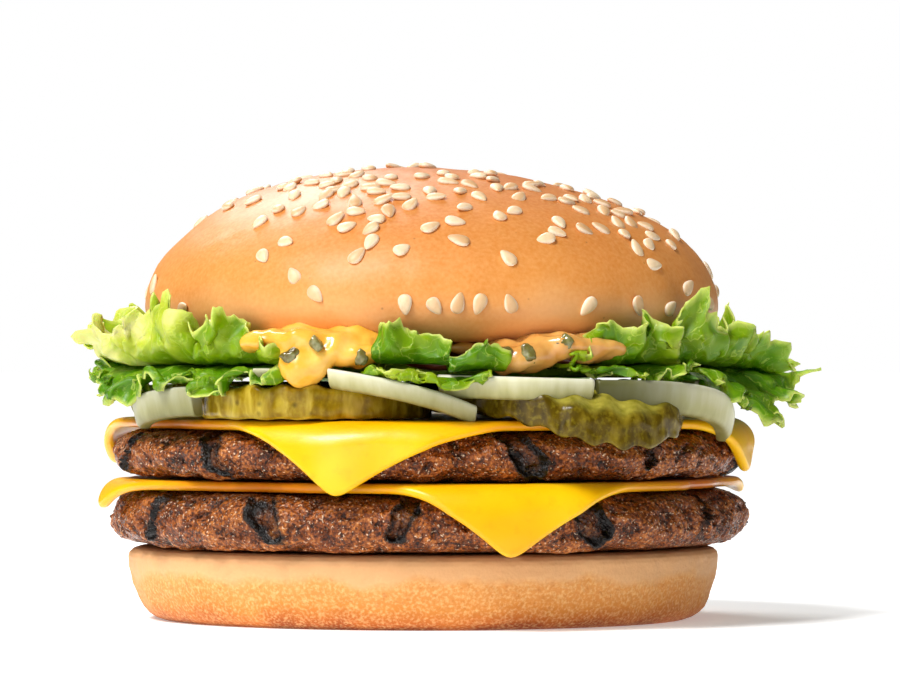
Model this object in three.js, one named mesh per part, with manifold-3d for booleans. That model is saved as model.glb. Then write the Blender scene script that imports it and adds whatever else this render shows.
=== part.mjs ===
// A double cheeseburger with bacon in a seeded bun, in millimetres.
// +Z is up, the shown side faces -Y, and the origin is the middle of the flat underside.

import * as THREE from 'three';
import { mergeVertices } from 'three/addons/utils/BufferGeometryUtils.js';
import Module from 'manifold-3d';

// Driving dimensions

const CUT_GAP = 0.27;
const SHARPEST_CORNER = 0.45;

const HEEL = { x: -0.35, radius: 52.9, bottom: 0, top: 13.0, sides: 30 };
const LOWER_PATTY = { x: 0.65, radius: 57.1, bottom: 13.3, top: 23.3, sides: 36, phase: 0.4 };
const UPPER_PATTY = { x: 0.35, radius: 56.3, bottom: 25.6, top: 34.0, sides: 36, phase: 2.1 };
const PATTY_CRAG = 0.6;

const CHEESE_THICK = 1.7;
const CHEESE_BEND = 3.3;
const CHEESE_TIP_ROUND = 2.0;
const LOWER_CHEESE = {
  x: 0.65,
  base: 23.6,
  edgeRadius: 55.0,
  turn: -76.2,
  rest: 52.0,
  corners: [
    { reach: 15.6, left: 13, right: 16 },
    { reach: 6.5, left: 12, right: 12 },
    { reach: 12.5, left: 15, right: 14 },
    { reach: 8.4, left: 11, right: 15 },
  ],
};
const UPPER_CHEESE = {
  x: 0.35,
  base: 34.3,
  edgeRadius: 54.2,
  turn: -105.1,
  rest: 51.5,
  corners: [
    { reach: 15.6, left: 12, right: 18 },
    { reach: 12.3, left: 13, right: 12 },
    { reach: 12.5, left: 15, right: 15 },
    { reach: 11.5, left: 12, right: 14 },
  ],
};
const CHEESE_COLUMNS_PER_CORNER = 8;

const PICKLE_RADIUS = 20;
const PICKLE_WAVE = 5.4;
const PICKLE_BASE = 36.5;
const PICKLE_COLUMNS = 22;
const PICKLES = [
  { name: 'pickle_left', x: -18.8, y: -33.5, thick: 5.1, turn: 0, droopFrom: 70, ripple: 0.35, rows: 1 },
  { name: 'pickle_right', x: 24.9, y: -37.0, thick: 5.6, turn: 3, droopFrom: 51, ripple: 0.45, rows: 2 },
  { name: 'pickle_far_right', x: 27.5, y: 5.0, thick: 4.6, turn: 62, droopFrom: 70, ripple: 0.6, rows: 1 },
  { name: 'pickle_far_left', x: -26.0, y: 13.0, thick: 4.6, turn: 140, droopFrom: 70, ripple: 0.6, rows: 1 },
  { name: 'pickle_back', x: 4.0, y: 40.5, thick: 5.2, turn: 4, droopFrom: 52, ripple: 0.5, rows: 2 },
];
const PICKLE_DROOP_LENGTH = 30;

const ONION_THICK = 2.8;
const ONIONS = [
  { name: 'onion_left', x: -23.5, y: -21, ring: 26.5, arc: [-168, -126], low: 36.6, high: 41.8, lead: 2.3 },
  {
    name: 'onion_strip', x: -3.6, y: -29, ring: 27.5, arc: [-116, -64], low: 39.6, high: 43.0, slope: -0.16,
    drop: 2.3,
  },
  { name: 'onion_middle', x: 15, y: -30, ring: 25.2, arc: [-118, -58], low: 39.6, high: 43.6, slope: -0.03 },
  { name: 'onion_right', x: 24.5, y: -21, ring: 28.8, arc: [-80, -6], low: 37.4, high: 43.0, drop: 5.4 },
  { name: 'onion_small', x: -26, y: -27, ring: 24, arc: [-97, -84], low: 42.9, high: 45.0 },
  { name: 'onion_back_right', x: 24, y: 26, ring: 27, arc: [12, 70], low: 37.2, high: 42.6, drop: 1 },
  { name: 'onion_back_left', x: -25, y: 20, ring: 28, arc: [104, 176], low: 37.0, high: 42.4, slope: 0.03 },
];

const BACON = {
  length: 34,
  width: 24,
  thick: 1.8,
  x: 9,
  frontY: -48,
  middleZ: 46.9,
  wave: 27,
  crest: 16,
  rise: 1.4,
  columns: 12,
  rows: 1,
};

const LETTUCE_BED = { radius: 41, low: 43.3, high: 46.1, wave: 0.15, sides: 18 };
const SAUCE_BED = { x: 1.2, radius: 46, bottom: 46.6, rimBottom: 47.9, top: 49.2, sides: 16 };
const SAUCE_LOBES = [
  { x: -18.5, y: -46.5, z: 49.4, across: 13.2, deep: 7.5, tall: 2.7 },
  { x: -14.0, y: -50.2, z: 47.9, across: 8.6, deep: 4.6, tall: 2.7 },
  { x: -20.3, y: -52.6, z: 46.6, across: 4.7, deep: 3.2, tall: 5.2 },
  { x: 23.0, y: -44.6, z: 48.6, across: 11.8, deep: 6.8, tall: 2.6 },
  { x: 16.0, y: -49.2, z: 46.6, across: 6.4, deep: 4.2, tall: 2.6 },
];
const SAUCE_BITS = [
  { x: -23.2, y: -54.9, z: 47.0, size: 1.9 },
  { x: -18.4, y: -55.6, z: 49.2, size: 1.2 },
  { x: -10.6, y: -54.2, z: 46.8, size: 1.3 },
  { x: 13.8, y: -53.0, z: 47.6, size: 1.2 },
  { x: 18.0, y: -53.0, z: 47.4, size: 1.5 },
  { x: 23.8, y: -51.0, z: 49.2, size: 1.5 },
];

const CROWN = { x: 1.2, radius: 51.5, foot: 45, widest: 56, top: 80.9, bottom: 49.5, sides: 34 };
const CROWN_LEAN = -3.2;
const SEED = {
  count: 116,
  sides: 5,
  length: 3.6,
  width: 2.3,
  thick: 1.25,
  proud: 0.2,
  apart: 3.0,
  spread: 97,
};

const LEAF_THICK = 0.8;
const LEAF_STEP = 5.2;
const LEAF_ROWS = 3;
const LEAF_RUFFLE = 11;
const LEAF_ROOT_RADIUS = 42.5;
const LEAF_SHOULDER = 57.5;
const LEAF_LEDGE = 51.5;
const LEAF_TURN = 59.5;
const UPPER_LEAF_DIPS = [0.8, 1.8];
const LOWER_LEAF_DIPS = [0, 0.2];
const LEAF_CROWN_ROOM = 1.6;
const LEAVES = [
  {
    name: 'lettuce_left_upper',
    seat: 46.7,
    ruffle: 1.5,
    edge: [[-178, 59, 50], [-167, 59, 54], [-158, 57.8, 52.8], [-150, 57.3, 57], [-141, 56.8, 57.2],
      [-134, 56.8, 52.4], [-127, 56.5, 56], [-121, 56.5, 51.6], [-114, 56, 48.6]],
  },
  {
    name: 'lettuce_left_lower',
    dips: LOWER_LEAF_DIPS,
    seat: 45.2,
    ruffle: 1.5,
    edge: [[-179, 58.6, 47], [-166, 59.6, 42.4], [-153, 60, 38.6], [-141, 59, 42.2], [-130, 58.5, 40.5],
      [-121, 58.4, 42], [-115, 57.4, 44.6]],
  },
  {
    name: 'lettuce_centre_upper',
    root: 46,
    seat: 46.8,
    ruffle: 0.9,
    edge: [[-99, 55, 53.4], [-95, 55.4, 54.5], [-90, 55.8, 52.3], [-85, 56, 49.6]],
  },
  {
    name: 'lettuce_centre_right',
    root: 46,
    seat: 46.0,
    ruffle: 0.6,
    edge: [[-85.5, 58, 47.4], [-82, 58.6, 49.7], [-78.5, 58.2, 50.2], [-75.5, 57.2, 48.4]],
  },
  {
    name: 'lettuce_centre_lower',
    root: 46,
    dips: LOWER_LEAF_DIPS,
    seat: 43.6,
    ruffle: 0.8,
    edge: [[-100, 57, 45.3], [-95, 58, 44.8], [-90, 59, 43.2], [-86, 59.5, 41.2], [-79, 58.5, 43.4]],
  },
  {
    name: 'lettuce_right_upper',
    seat: 46.7,
    ruffle: 1.5,
    edge: [[-64, 55.5, 47.4], [-59, 56, 51.5], [-54, 57, 52.5], [-49, 57.2, 54.4], [-43, 57.5, 53],
      [-39, 57, 49]],
  },
  {
    name: 'lettuce_right_lower',
    dips: LOWER_LEAF_DIPS,
    seat: 45.2,
    ruffle: 1.2,
    edge: [[-62, 57, 46.3], [-56, 59, 43.6], [-50, 60.5, 41.9], [-44, 60.5, 43.6], [-37, 59, 46]],
  },
  {
    name: 'lettuce_far_right_upper',
    seat: 46.7,
    ruffle: 1.5,
    edge: [[-38, 56.8, 55], [-34, 57.6, 56.8], [-28, 58.2, 51.6], [-22, 59.2, 54], [-15, 61.3, 51.4],
      [-9, 64, 48], [-3, 65.5, 45.4], [4, 63.5, 48], [9, 61, 47.4]],
  },
  {
    name: 'lettuce_far_right_lower',
    dips: LOWER_LEAF_DIPS,
    seat: 45.2,
    ruffle: 1.6,
    edge: [[-33, 60.5, 42.6], [-26, 63, 38], [-19, 64.5, 34.2], [-12, 67, 38.4], [-5, 69, 40.8],
      [3, 66.5, 43.4]],
  },
  {
    name: 'lettuce_back_right_upper',
    seat: 46.7,
    ruffle: 1.5,
    edge: [[10, 59, 50], [20, 58, 54.5], [31, 57.5, 56.5], [42, 57, 53], [53, 57, 55.5], [62, 56.5, 50]],
  },
  {
    name: 'lettuce_back_right_lower',
    dips: LOWER_LEAF_DIPS,
    seat: 45.2,
    ruffle: 1.5,
    edge: [[6, 65, 45.8], [14, 63.5, 41.5], [24, 61.5, 39.4], [33, 60.5, 42.5], [42, 60.5, 40.2],
      [50, 59.5, 45]],
  },
  {
    name: 'lettuce_back_lower',
    dips: LOWER_LEAF_DIPS,
    seat: 45.2,
    ruffle: 1.5,
    edge: [[53, 59, 46], [64, 61, 41.5], [76, 60.5, 43.5], [88, 60.5, 40.5], [99, 61, 42.8], [108, 60, 39.8],
      [117, 59, 45]],
  },
  {
    name: 'lettuce_back_upper',
    seat: 46.7,
    ruffle: 1.4,
    edge: [[65, 57, 50], [76, 57.5, 55], [86, 56.5, 53], [96, 57, 56.5], [107, 57, 53], [118, 57.5, 56.8],
      [128, 57, 50]],
  },
  {
    name: 'lettuce_back_left_upper',
    seat: 46.7,
    ruffle: 1.5,
    edge: [[131, 57.5, 50], [140, 58.5, 55.5], [150, 58, 53.5], [160, 58.5, 56.6], [170, 59, 53.6],
      [179, 59, 49.6]],
  },
  {
    name: 'lettuce_back_left_lower',
    dips: LOWER_LEAF_DIPS,
    seat: 45.2,
    ruffle: 1.6,
    edge: [[120, 58.5, 46], [132, 60.5, 41], [145, 61.5, 42.6], [158, 61, 39.8], [170, 60, 45.6]],
  },
];

// Materials

function finish(color, roughness) {
  return new THREE.MeshStandardMaterial({ color, roughness, metalness: 0 });
}

const MATERIALS = {
  crown: finish(0xe0a060, 0.45),
  heel: finish(0xe3b078, 0.75),
  patty: finish(0x6e4028, 0.6),
  cheese: finish(0xffc62b, 0.3),
  pickle: finish(0x8f8a2a, 0.35),
  onion: finish(0xebe6d7, 0.3),
  bacon: finish(0x7a2c1c, 0.4),
  sauce: finish(0xf3b950, 0.3),
  lettuce: finish(0x86b92c, 0.45),
};

// Small helpers

function radians(degrees) {
  return (degrees * Math.PI) / 180;
}

function mix(a, b, t) {
  return a + (b - a) * t;
}

function makeRandom(start) {
  let state = start >>> 0;
  return () => {
    state = (Math.imul(state, 1664525) + 1013904223) >>> 0;
    return state / 4294967296;
  };
}

function smoothStep(low, high, value) {
  const t = Math.min(1, Math.max(0, (value - low) / (high - low)));
  return t * t * (3 - 2 * t);
}

function signedVolume(points, faces) {
  let total = 0;
  for (let i = 0; i < faces.length; i += 3) {
    const [a, b, c] = [points[faces[i]], points[faces[i + 1]], points[faces[i + 2]]];
    total += a.dot(b.clone().cross(c)) / 6;
  }
  return total;
}

function closedGeometry(points, faces) {
  if (signedVolume(points, faces) < 0) {
    for (let i = 0; i < faces.length; i += 3) {
      [faces[i], faces[i + 1]] = [faces[i + 1], faces[i]];
    }
  }
  const geometry = new THREE.BufferGeometry();
  geometry.setAttribute('position', new THREE.Float32BufferAttribute(points.flatMap((p) => p.toArray()), 3));
  geometry.setIndex(faces);
  return geometry;
}

// A body of rings, with one point at each end: place(row, angle) gives a point of the surface.
function ringBody(rows, angles, place) {
  const sides = angles.length;
  const points = [place(0, 0)];
  for (let row = 1; row < rows - 1; row += 1) {
    for (const angle of angles) {
      points.push(place(row, angle));
    }
  }
  points.push(place(rows - 1, 0));
  const last = points.length - 1;
  const at = (row, side) => 1 + (row - 1) * sides + (side % sides);
  const faces = [];
  for (let side = 0; side < sides; side += 1) {
    faces.push(0, at(1, side), at(1, side + 1));
    for (let row = 1; row < rows - 2; row += 1) {
      faces.push(at(row, side), at(row + 1, side), at(row + 1, side + 1));
      faces.push(at(row, side), at(row + 1, side + 1), at(row, side + 1));
    }
    faces.push(at(rows - 2, side), last, at(rows - 2, side + 1));
  }
  return closedGeometry(points, faces);
}

function evenAngles(sides) {
  return Array.from({ length: sides }, (_, i) => (i * 2 * Math.PI) / sides);
}

// A thin body with two like faces: front(u, v) and back(u, v) give their points.
function sheetBody(columns, rows, front, back) {
  const points = [];
  for (const face of [front, back]) {
    for (let j = 0; j <= rows; j += 1) {
      for (let i = 0; i <= columns; i += 1) {
        points.push(face(i / columns, j / rows));
      }
    }
  }
  const size = (columns + 1) * (rows + 1);
  const at = (face, i, j) => face * size + j * (columns + 1) + i;
  const faces = [];
  const quad = (a, b, c, d) => faces.push(a, b, c, a, c, d);
  for (let j = 0; j < rows; j += 1) {
    for (let i = 0; i < columns; i += 1) {
      quad(at(0, i, j), at(0, i + 1, j), at(0, i + 1, j + 1), at(0, i, j + 1));
      faces.push(at(1, i, j), at(1, i + 1, j + 1), at(1, i + 1, j));
      faces.push(at(1, i, j), at(1, i, j + 1), at(1, i + 1, j + 1));
    }
  }
  for (let i = 0; i < columns; i += 1) {
    quad(at(1, i, 0), at(1, i + 1, 0), at(0, i + 1, 0), at(0, i, 0));
    quad(at(0, i, rows), at(0, i + 1, rows), at(1, i + 1, rows), at(1, i, rows));
  }
  for (let j = 0; j < rows; j += 1) {
    quad(at(0, 0, j), at(0, 0, j + 1), at(1, 0, j + 1), at(1, 0, j));
    quad(at(1, columns, j), at(1, columns, j + 1), at(0, columns, j + 1), at(0, columns, j));
  }
  return closedGeometry(points, faces);
}

// Joining and cutting

const wasm = await Module();
wasm.setup();

function mergedOf(geometry) {
  const bare = geometry.clone();
  bare.deleteAttribute('normal');
  bare.deleteAttribute('uv');
  return mergeVertices(bare, 1e-4);
}

function solidOf(geometry) {
  const merged = mergedOf(geometry);
  return new wasm.Manifold(new wasm.Mesh({
    numProp: 3,
    vertProperties: Float32Array.from(merged.attributes.position.array),
    triVerts: Uint32Array.from(merged.index.array),
  }));
}

function geometryOf(solid) {
  const mesh = solid.getMesh();
  const geometry = new THREE.BufferGeometry();
  geometry.setAttribute('position', new THREE.BufferAttribute(mesh.vertProperties, 3));
  geometry.setIndex(new THREE.BufferAttribute(mesh.triVerts, 1));
  return geometry;
}

// The normals of the faces round each vertex of an indexed geometry.
function faceNormalsByVertex({ position, index }) {
  const normals = Array.from({ length: position.count }, () => []);
  const corner = () => new THREE.Vector3();
  for (let i = 0; i < index.count; i += 3) {
    const ids = [index.getX(i), index.getX(i + 1), index.getX(i + 2)];
    const [a, b, c] = ids.map((id) => corner().fromBufferAttribute(position, id));
    const normal = b.sub(a).cross(c.sub(a));
    if (normal.length() > 1e-9) {
      normal.normalize();
      ids.forEach((id) => normals[id].push(normal));
    }
  }
  return normals;
}

// Every face moves out by the distance, as each vertex goes far enough for all the faces round it.
function grown(geometry, distance) {
  const merged = mergedOf(geometry);
  const { position } = merged.attributes;
  const normals = faceNormalsByVertex({ position, index: merged.index });
  normals.forEach((around, id) => {
    const out = around.reduce((sum, normal) => sum.add(normal), new THREE.Vector3()).normalize();
    const least = Math.min(...around.map((normal) => normal.dot(out)));
    const vertex = new THREE.Vector3().fromBufferAttribute(position, id);
    vertex.addScaledVector(out, distance / Math.max(SHARPEST_CORNER, least));
    position.setXYZ(id, vertex.x, vertex.y, vertex.z);
  });
  return merged;
}

function largestPiece(solid) {
  const pieces = solid.decompose();
  return pieces.reduce((best, piece) => (piece.volume() > best.volume() ? piece : best));
}

// What is left of a piece once its neighbours, each grown by the gap, are cut from it.
function carved(geometry, neighbours) {
  let solid = solidOf(geometry);
  for (const neighbour of neighbours) {
    const tool = solidOf(neighbour);
    if (solid.intersect(tool).volume() > 0) {
      solid = solid.subtract(tool);
    }
  }
  return geometryOf(largestPiece(solid));
}

// Bun and patties

const HEEL_PROFILE = [[0, 1], [0.93, 1], [0.985, 0.97], [1, 0.88], [0.985, 0.55], [0.963, 0.28],
  [0.935, 0.09], [0.89, 0], [0, 0]];
const PATTY_PROFILE = [[0, 1], [0.88, 1], [0.945, 0.93], [0.985, 0.74], [1, 0.5], [0.985, 0.24],
  [0.94, 0.06], [0.87, 0], [0, 0]];

function makeHeel() {
  const { x, radius, bottom, top, sides } = HEEL;
  return ringBody(HEEL_PROFILE.length, evenAngles(sides), (row, angle) => {
    const [reach, level] = HEEL_PROFILE[row];
    const swell = 1 + 0.004 * Math.sin(3 * angle + 1.1) * reach;
    const r = radius * reach * swell;
    return new THREE.Vector3(x + r * Math.cos(angle), r * Math.sin(angle), mix(bottom, top, level));
  });
}

function cragAt(angle, level, phase) {
  const broad = 0.5 * Math.sin(5 * angle + phase) + 0.4 * Math.sin(9 * angle - 2 * phase + 3 * level);
  const fine = 0.45 * Math.sin(16 * angle + 5 * level + phase) + 0.35 * Math.sin(23 * angle - 7 * level);
  return broad + fine;
}

function makePatty({ x, radius, bottom, top, sides, phase }) {
  return ringBody(PATTY_PROFILE.length, evenAngles(sides), (row, angle) => {
    const [reach, level] = PATTY_PROFILE[row];
    const rough = smoothStep(0.86, 0.97, reach);
    const r = radius * reach + PATTY_CRAG * rough * cragAt(angle, level, phase);
    const lift = 0.35 * rough * Math.sin(13 * angle + 4 * level + phase);
    return new THREE.Vector3(x + r * Math.cos(angle), r * Math.sin(angle), mix(bottom, top, level) + lift);
  });
}

function crownPoint(polar, angle) {
  const { x, radius, foot, widest, top, bottom } = CROWN;
  const lowered = Math.max(0, polar - Math.PI / 2);
  const upper = polar <= Math.PI / 2;
  const r = upper ? radius * Math.sin(polar) : foot + (radius - foot) * Math.cos(lowered);
  const rise = upper ? (top - widest) * Math.cos(polar) : -(widest - bottom) * Math.sin(lowered);
  const z = widest + rise;
  const lean = CROWN_LEAN * smoothStep(0.45, 1, (z - widest) / (top - widest));
  return new THREE.Vector3(x + lean + r * Math.cos(angle), r * Math.sin(angle), z);
}

function makeCrownDome() {
  const polars = [0, 14, 28, 42, 57, 73, 90, 116, 145, 180];
  const rows = polars.length + 2;
  return ringBody(rows, evenAngles(CROWN.sides), (row, angle) => {
    if (row < polars.length) {
      return crownPoint(radians(polars[row]), angle);
    }
    const r = row === rows - 1 ? 0 : 24;
    return new THREE.Vector3(CROWN.x + r * Math.cos(angle), r * Math.sin(angle), CROWN.bottom);
  });
}

// A flat drop, pointed at one end, with its middle on the origin.
function makeSeed() {
  const { sides, length, width, thick } = SEED;
  return ringBody(3, evenAngles(sides), (row, angle) => {
    if (row !== 1) {
      return new THREE.Vector3(-0.1 * length, 0, ((1 - row) * thick) / 2);
    }
    const along = Math.cos(angle);
    const taper = 1 - 0.38 * along;
    return new THREE.Vector3((along * length) / 2, (Math.sin(angle) * taper * width) / 2, 0);
  });
}

function seedPlaces() {
  const random = makeRandom(20817);
  const places = [];
  while (places.length < SEED.count) {
    const polar = radians(SEED.spread) * random() ** 0.72;
    const angle = 2 * Math.PI * random();
    const spin = 2 * Math.PI * random();
    const tip = 0.5 * (random() - 0.5);
    const point = crownPoint(polar, angle);
    if (places.every((other) => other.point.distanceTo(point) > SEED.apart)) {
      places.push({ point, polar, angle, spin, tip });
    }
  }
  return places;
}

function seedMatrix({ point, polar, angle, spin, tip }) {
  const step = 0.01;
  const down = crownPoint(polar + step, angle).sub(crownPoint(polar, angle)).normalize();
  const round = new THREE.Vector3(-Math.sin(angle), Math.cos(angle), 0);
  const out = down.clone().cross(round).normalize();
  const along = down.clone().multiplyScalar(Math.cos(spin)).addScaledVector(round, Math.sin(spin));
  along.addScaledVector(out, tip).normalize();
  const across = out.clone().cross(along).normalize();
  const normal = along.clone().cross(across);
  const place = point.clone().addScaledVector(out, SEED.proud);
  return new THREE.Matrix4().makeBasis(along, across, normal).setPosition(place);
}

function makeCrown(dome) {
  let solid = solidOf(dome);
  const seed = makeSeed();
  for (const place of seedPlaces()) {
    solid = solid.add(solidOf(seed.clone().applyMatrix4(seedMatrix(place))));
  }
  return geometryOf(largestPiece(solid));
}

// Cheese

// How far the melted edge hangs past its resting place, at an angle from the slice's first corner.
function cheeseHang(slice, degreesFromFirst) {
  const nearest = Math.round(degreesFromFirst / 90);
  const corner = slice.corners[((nearest % 4) + 4) % 4];
  const away = radians(degreesFromFirst - nearest * 90) * slice.edgeRadius;
  const width = away < 0 ? corner.left : corner.right;
  const rounded = Math.hypot(away, CHEESE_TIP_ROUND) - CHEESE_TIP_ROUND;
  return corner.reach * Math.exp(-rounded / width);
}

// Follows the top of the patty out, then bends over its edge and hangs down.
function drapedPoint(slice, travel, angle, thick) {
  const over = Math.max(0, travel - slice.edgeRadius);
  const turn = Math.min(over / CHEESE_BEND, Math.PI / 2);
  const fall = Math.max(0, over - (CHEESE_BEND * Math.PI) / 2);
  const bend = CHEESE_BEND + thick;
  const r = Math.min(travel, slice.edgeRadius) + bend * Math.sin(turn);
  const z = slice.base + thick - bend * (1 - Math.cos(turn)) - fall;
  return new THREE.Vector3(slice.x + r * Math.cos(angle), r * Math.sin(angle), z);
}

function makeCheese(slice) {
  const count = 4 * CHEESE_COLUMNS_PER_CORNER;
  const angles = Array.from({ length: count }, (_, i) => radians(slice.turn + (i * 360) / count));
  const reaches = [0, 0.9, 0.94, 0.97, 1];
  const rows = 2 * reaches.length;
  return ringBody(rows, angles, (row, angle) => {
    const onTop = row < reaches.length;
    const reach = reaches[onTop ? row : rows - 1 - row];
    const fromFirst = (angle * 180) / Math.PI - slice.turn;
    const hang = cheeseHang(slice, fromFirst);
    const start = slice.rest * 0.95;
    const travel = reach <= 0.9 ? (start * reach) / 0.9 : mix(start, slice.rest + hang, (reach - 0.9) / 0.1);
    return drapedPoint(slice, travel, angle, onTop ? CHEESE_THICK : 0);
  });
}

// Pickles

function makePickle({ x, y, thick, turn, droopFrom, ripple, rows }) {
  const heading = radians(turn);
  const surface = (top) => (u, v) => {
    const across = PICKLE_RADIUS * Math.sin(radians(mix(-81, 81, u)));
    const half = Math.sqrt(PICKLE_RADIUS ** 2 - across ** 2);
    const along = mix(-half, half, v);
    const px = x + across * Math.cos(heading) - along * Math.sin(heading);
    const py = y + across * Math.sin(heading) + along * Math.cos(heading);
    const ridge = ripple * (1 + Math.cos((2 * Math.PI * across) / PICKLE_WAVE));
    const past = Math.max(0, Math.hypot(px, py) - droopFrom);
    const z = PICKLE_BASE + ridge + (top ? thick : 0) - past ** 2 / PICKLE_DROOP_LENGTH;
    return new THREE.Vector3(px, py, z);
  };
  return sheetBody(PICKLE_COLUMNS, rows, surface(true), surface(false));
}

// Onion

function makeOnion({ x, y, ring, arc, low, high, slope = 0, drop = 0, lead = 0 }) {
  const [from, to] = arc;
  const columns = Math.max(6, Math.round((to - from) / 7));
  const surface = (outward) => (u, v) => {
    const angle = radians(mix(from, to, u));
    const lean = 1.2 * (v - 0.5);
    const r = ring + outward * (ONION_THICK / 2) + lean;
    const along = r * Math.cos(angle);
    const z = mix(low, high, v) + slope * along - drop * u ** 3 - lead * (1 - u) ** 2;
    return new THREE.Vector3(x + along, y + r * Math.sin(angle), z);
  };
  return sheetBody(columns, 1, surface(1), surface(-1));
}

// Bacon

function makeBacon() {
  const { length, width, thick, x, frontY, middleZ, wave, crest, rise, columns, rows } = BACON;
  const surface = (side) => (u, v) => {
    const along = mix(-length / 2, length / 2, u);
    const edge = 1.4 * Math.sin((2 * Math.PI * along) / 31);
    const lift = rise * Math.cos((2 * Math.PI * (x + along - crest)) / wave);
    return new THREE.Vector3(x + along, frontY + edge + width * v, middleZ + lift + (side * thick) / 2);
  };
  return sheetBody(columns, rows, surface(1), surface(-1));
}

// Sauce

function makeSauceBed() {
  const { x, radius, bottom, rimBottom, top, sides } = SAUCE_BED;
  const profile = [[0, 1], [0.97, 1], [1, 0.5], [0.97, 0], [0.75, 0], [0.4, 0], [0, 0]];
  return ringBody(profile.length, evenAngles(sides), (row, angle) => {
    const [reach, level] = profile[row];
    const low = mix(bottom, rimBottom, smoothStep(0.4, 0.9, reach));
    const r = radius * reach;
    return new THREE.Vector3(x + r * Math.cos(angle), r * Math.sin(angle), mix(low, top, level));
  });
}

function ellipsoid(across, deep, tall, x, y, z) {
  return new THREE.SphereGeometry(1, 8, 5).rotateX(Math.PI / 2).scale(across, deep, tall).translate(x, y, z);
}

function makeSauce(neighbours) {
  let solid = solidOf(makeSauceBed());
  for (const { x, y, z, across, deep, tall } of SAUCE_LOBES) {
    solid = solid.add(solidOf(ellipsoid(across, deep, tall, x, y, z)));
  }
  for (const { x, y, z, size } of SAUCE_BITS) {
    const bit = new THREE.IcosahedronGeometry(size, 0).scale(1, 0.8, 0.8).translate(x, y, z);
    solid = solid.add(solidOf(bit));
  }
  return carved(geometryOf(solid), neighbours);
}

// Lettuce

function leafEdge(edge) {
  const points = edge.map(([angle, r, z]) => new THREE.Vector3(angle, r, z));
  return new THREE.CatmullRomCurve3(points, false, 'catmullrom', 0.5);
}

// Under the crown a leaf lies flat; past its edge it turns up or down to the leaf's own edge.
function leafPath(leaf, edgePoint, v) {
  const { y: edgeRadius, z: edgeZ } = edgePoint;
  const [ledgeDip, turnDip] = leaf.dips ?? UPPER_LEAF_DIPS;
  const root = (1 - v) ** 3;
  const ledge = 3 * v * (1 - v) ** 2;
  const turn = 3 * v ** 2 * (1 - v);
  const tip = v ** 3;
  const turnRadius = Math.min(LEAF_TURN, edgeRadius + 1.5);
  const inner = root * (leaf.root ?? LEAF_ROOT_RADIUS) + ledge * LEAF_LEDGE;
  const r = inner + turn * turnRadius + tip * edgeRadius;
  const z = (root + ledge + turn) * leaf.seat - ledge * ledgeDip - turn * turnDip + tip * edgeZ;
  return [r, z];
}

function leafPoint(leaf, curve, u, v) {
  const edgePoint = curve.getPoint(u);
  const angle = radians(edgePoint.x);
  const [r, z] = leafPath(leaf, edgePoint, v);
  const travel = angle * 57;
  const turn = 2 * Math.PI * travel;
  const wave = Math.sin(turn / LEAF_RUFFLE) + 0.3 * Math.sin(turn / 7.3 + 1);
  const push = leaf.ruffle * v ** 2 * wave;
  const dip = 0.4 * leaf.ruffle * v ** 2 * Math.sin(turn / LEAF_RUFFLE + 1.6);
  return new THREE.Vector3((r + push) * Math.cos(angle), (r + push) * Math.sin(angle), z + dip);
}

function makeLeaf(leaf) {
  const curve = leafEdge(leaf.edge);
  const span = leaf.edge[leaf.edge.length - 1][0] - leaf.edge[0][0];
  const columns = Math.max(5, Math.round((radians(span) * LEAF_SHOULDER) / LEAF_STEP));
  const surface = (side) => (u, v) => {
    const step = 0.01;
    const here = leafPoint(leaf, curve, u, v);
    const along = leafPoint(leaf, curve, Math.min(1, u + step), v).sub(
      leafPoint(leaf, curve, Math.max(0, u - step), v),
    );
    const outward = leafPoint(leaf, curve, u, Math.min(1, v + step)).sub(
      leafPoint(leaf, curve, u, Math.max(0, v - step)),
    );
    const normal = along.cross(outward).normalize();
    return here.addScaledVector(normal, (side * LEAF_THICK) / 2);
  };
  return sheetBody(columns, LEAF_ROWS, surface(1), surface(-1));
}

// The inner leaf that the fillings lie between.
function makeLettuceBed() {
  const { radius, low, high, wave, sides } = LETTUCE_BED;
  const profile = [[0, 1], [0.5, 1], [1, 1], [1, 0], [0.5, 0], [0, 0]];
  return ringBody(profile.length, evenAngles(sides), (row, angle) => {
    const [reach, level] = profile[row];
    const r = radius * reach * (1 + 0.05 * Math.sin(5 * angle) * reach);
    const lift = wave * reach * Math.sin(7 * angle + 1);
    return new THREE.Vector3(r * Math.cos(angle), r * Math.sin(angle), mix(low, high, level) + lift);
  });
}

// The burger, from the bottom up

const burger = new THREE.Group();

function addPiece(name, geometry, material) {
  const mesh = new THREE.Mesh(geometry, material);
  mesh.name = name;
  burger.add(mesh);
  return geometry;
}

const roomAround = [];

addPiece('heel', makeHeel(), MATERIALS.heel);
const lowerPatty = addPiece('patty_lower', makePatty(LOWER_PATTY), MATERIALS.patty);
const upperPatty = addPiece('patty_upper', makePatty(UPPER_PATTY), MATERIALS.patty);
const pattyRoom = [grown(lowerPatty, CUT_GAP), grown(upperPatty, CUT_GAP)];
const lowerCheese = carved(makeCheese(LOWER_CHEESE), pattyRoom);
addPiece('cheese_lower', lowerCheese, MATERIALS.cheese);
const upperCheese = carved(makeCheese(UPPER_CHEESE), [...pattyRoom, grown(lowerCheese, CUT_GAP)]);
addPiece('cheese_upper', upperCheese, MATERIALS.cheese);
roomAround.push(...pattyRoom, grown(lowerCheese, CUT_GAP), grown(upperCheese, CUT_GAP));

for (const pickle of PICKLES) {
  const geometry = carved(makePickle(pickle), roomAround);
  addPiece(pickle.name, geometry, MATERIALS.pickle);
  roomAround.push(grown(geometry, CUT_GAP));
}
for (const onion of ONIONS) {
  const geometry = carved(makeOnion(onion), roomAround);
  addPiece(onion.name, geometry, MATERIALS.onion);
  roomAround.push(grown(geometry, CUT_GAP));
}

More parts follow.
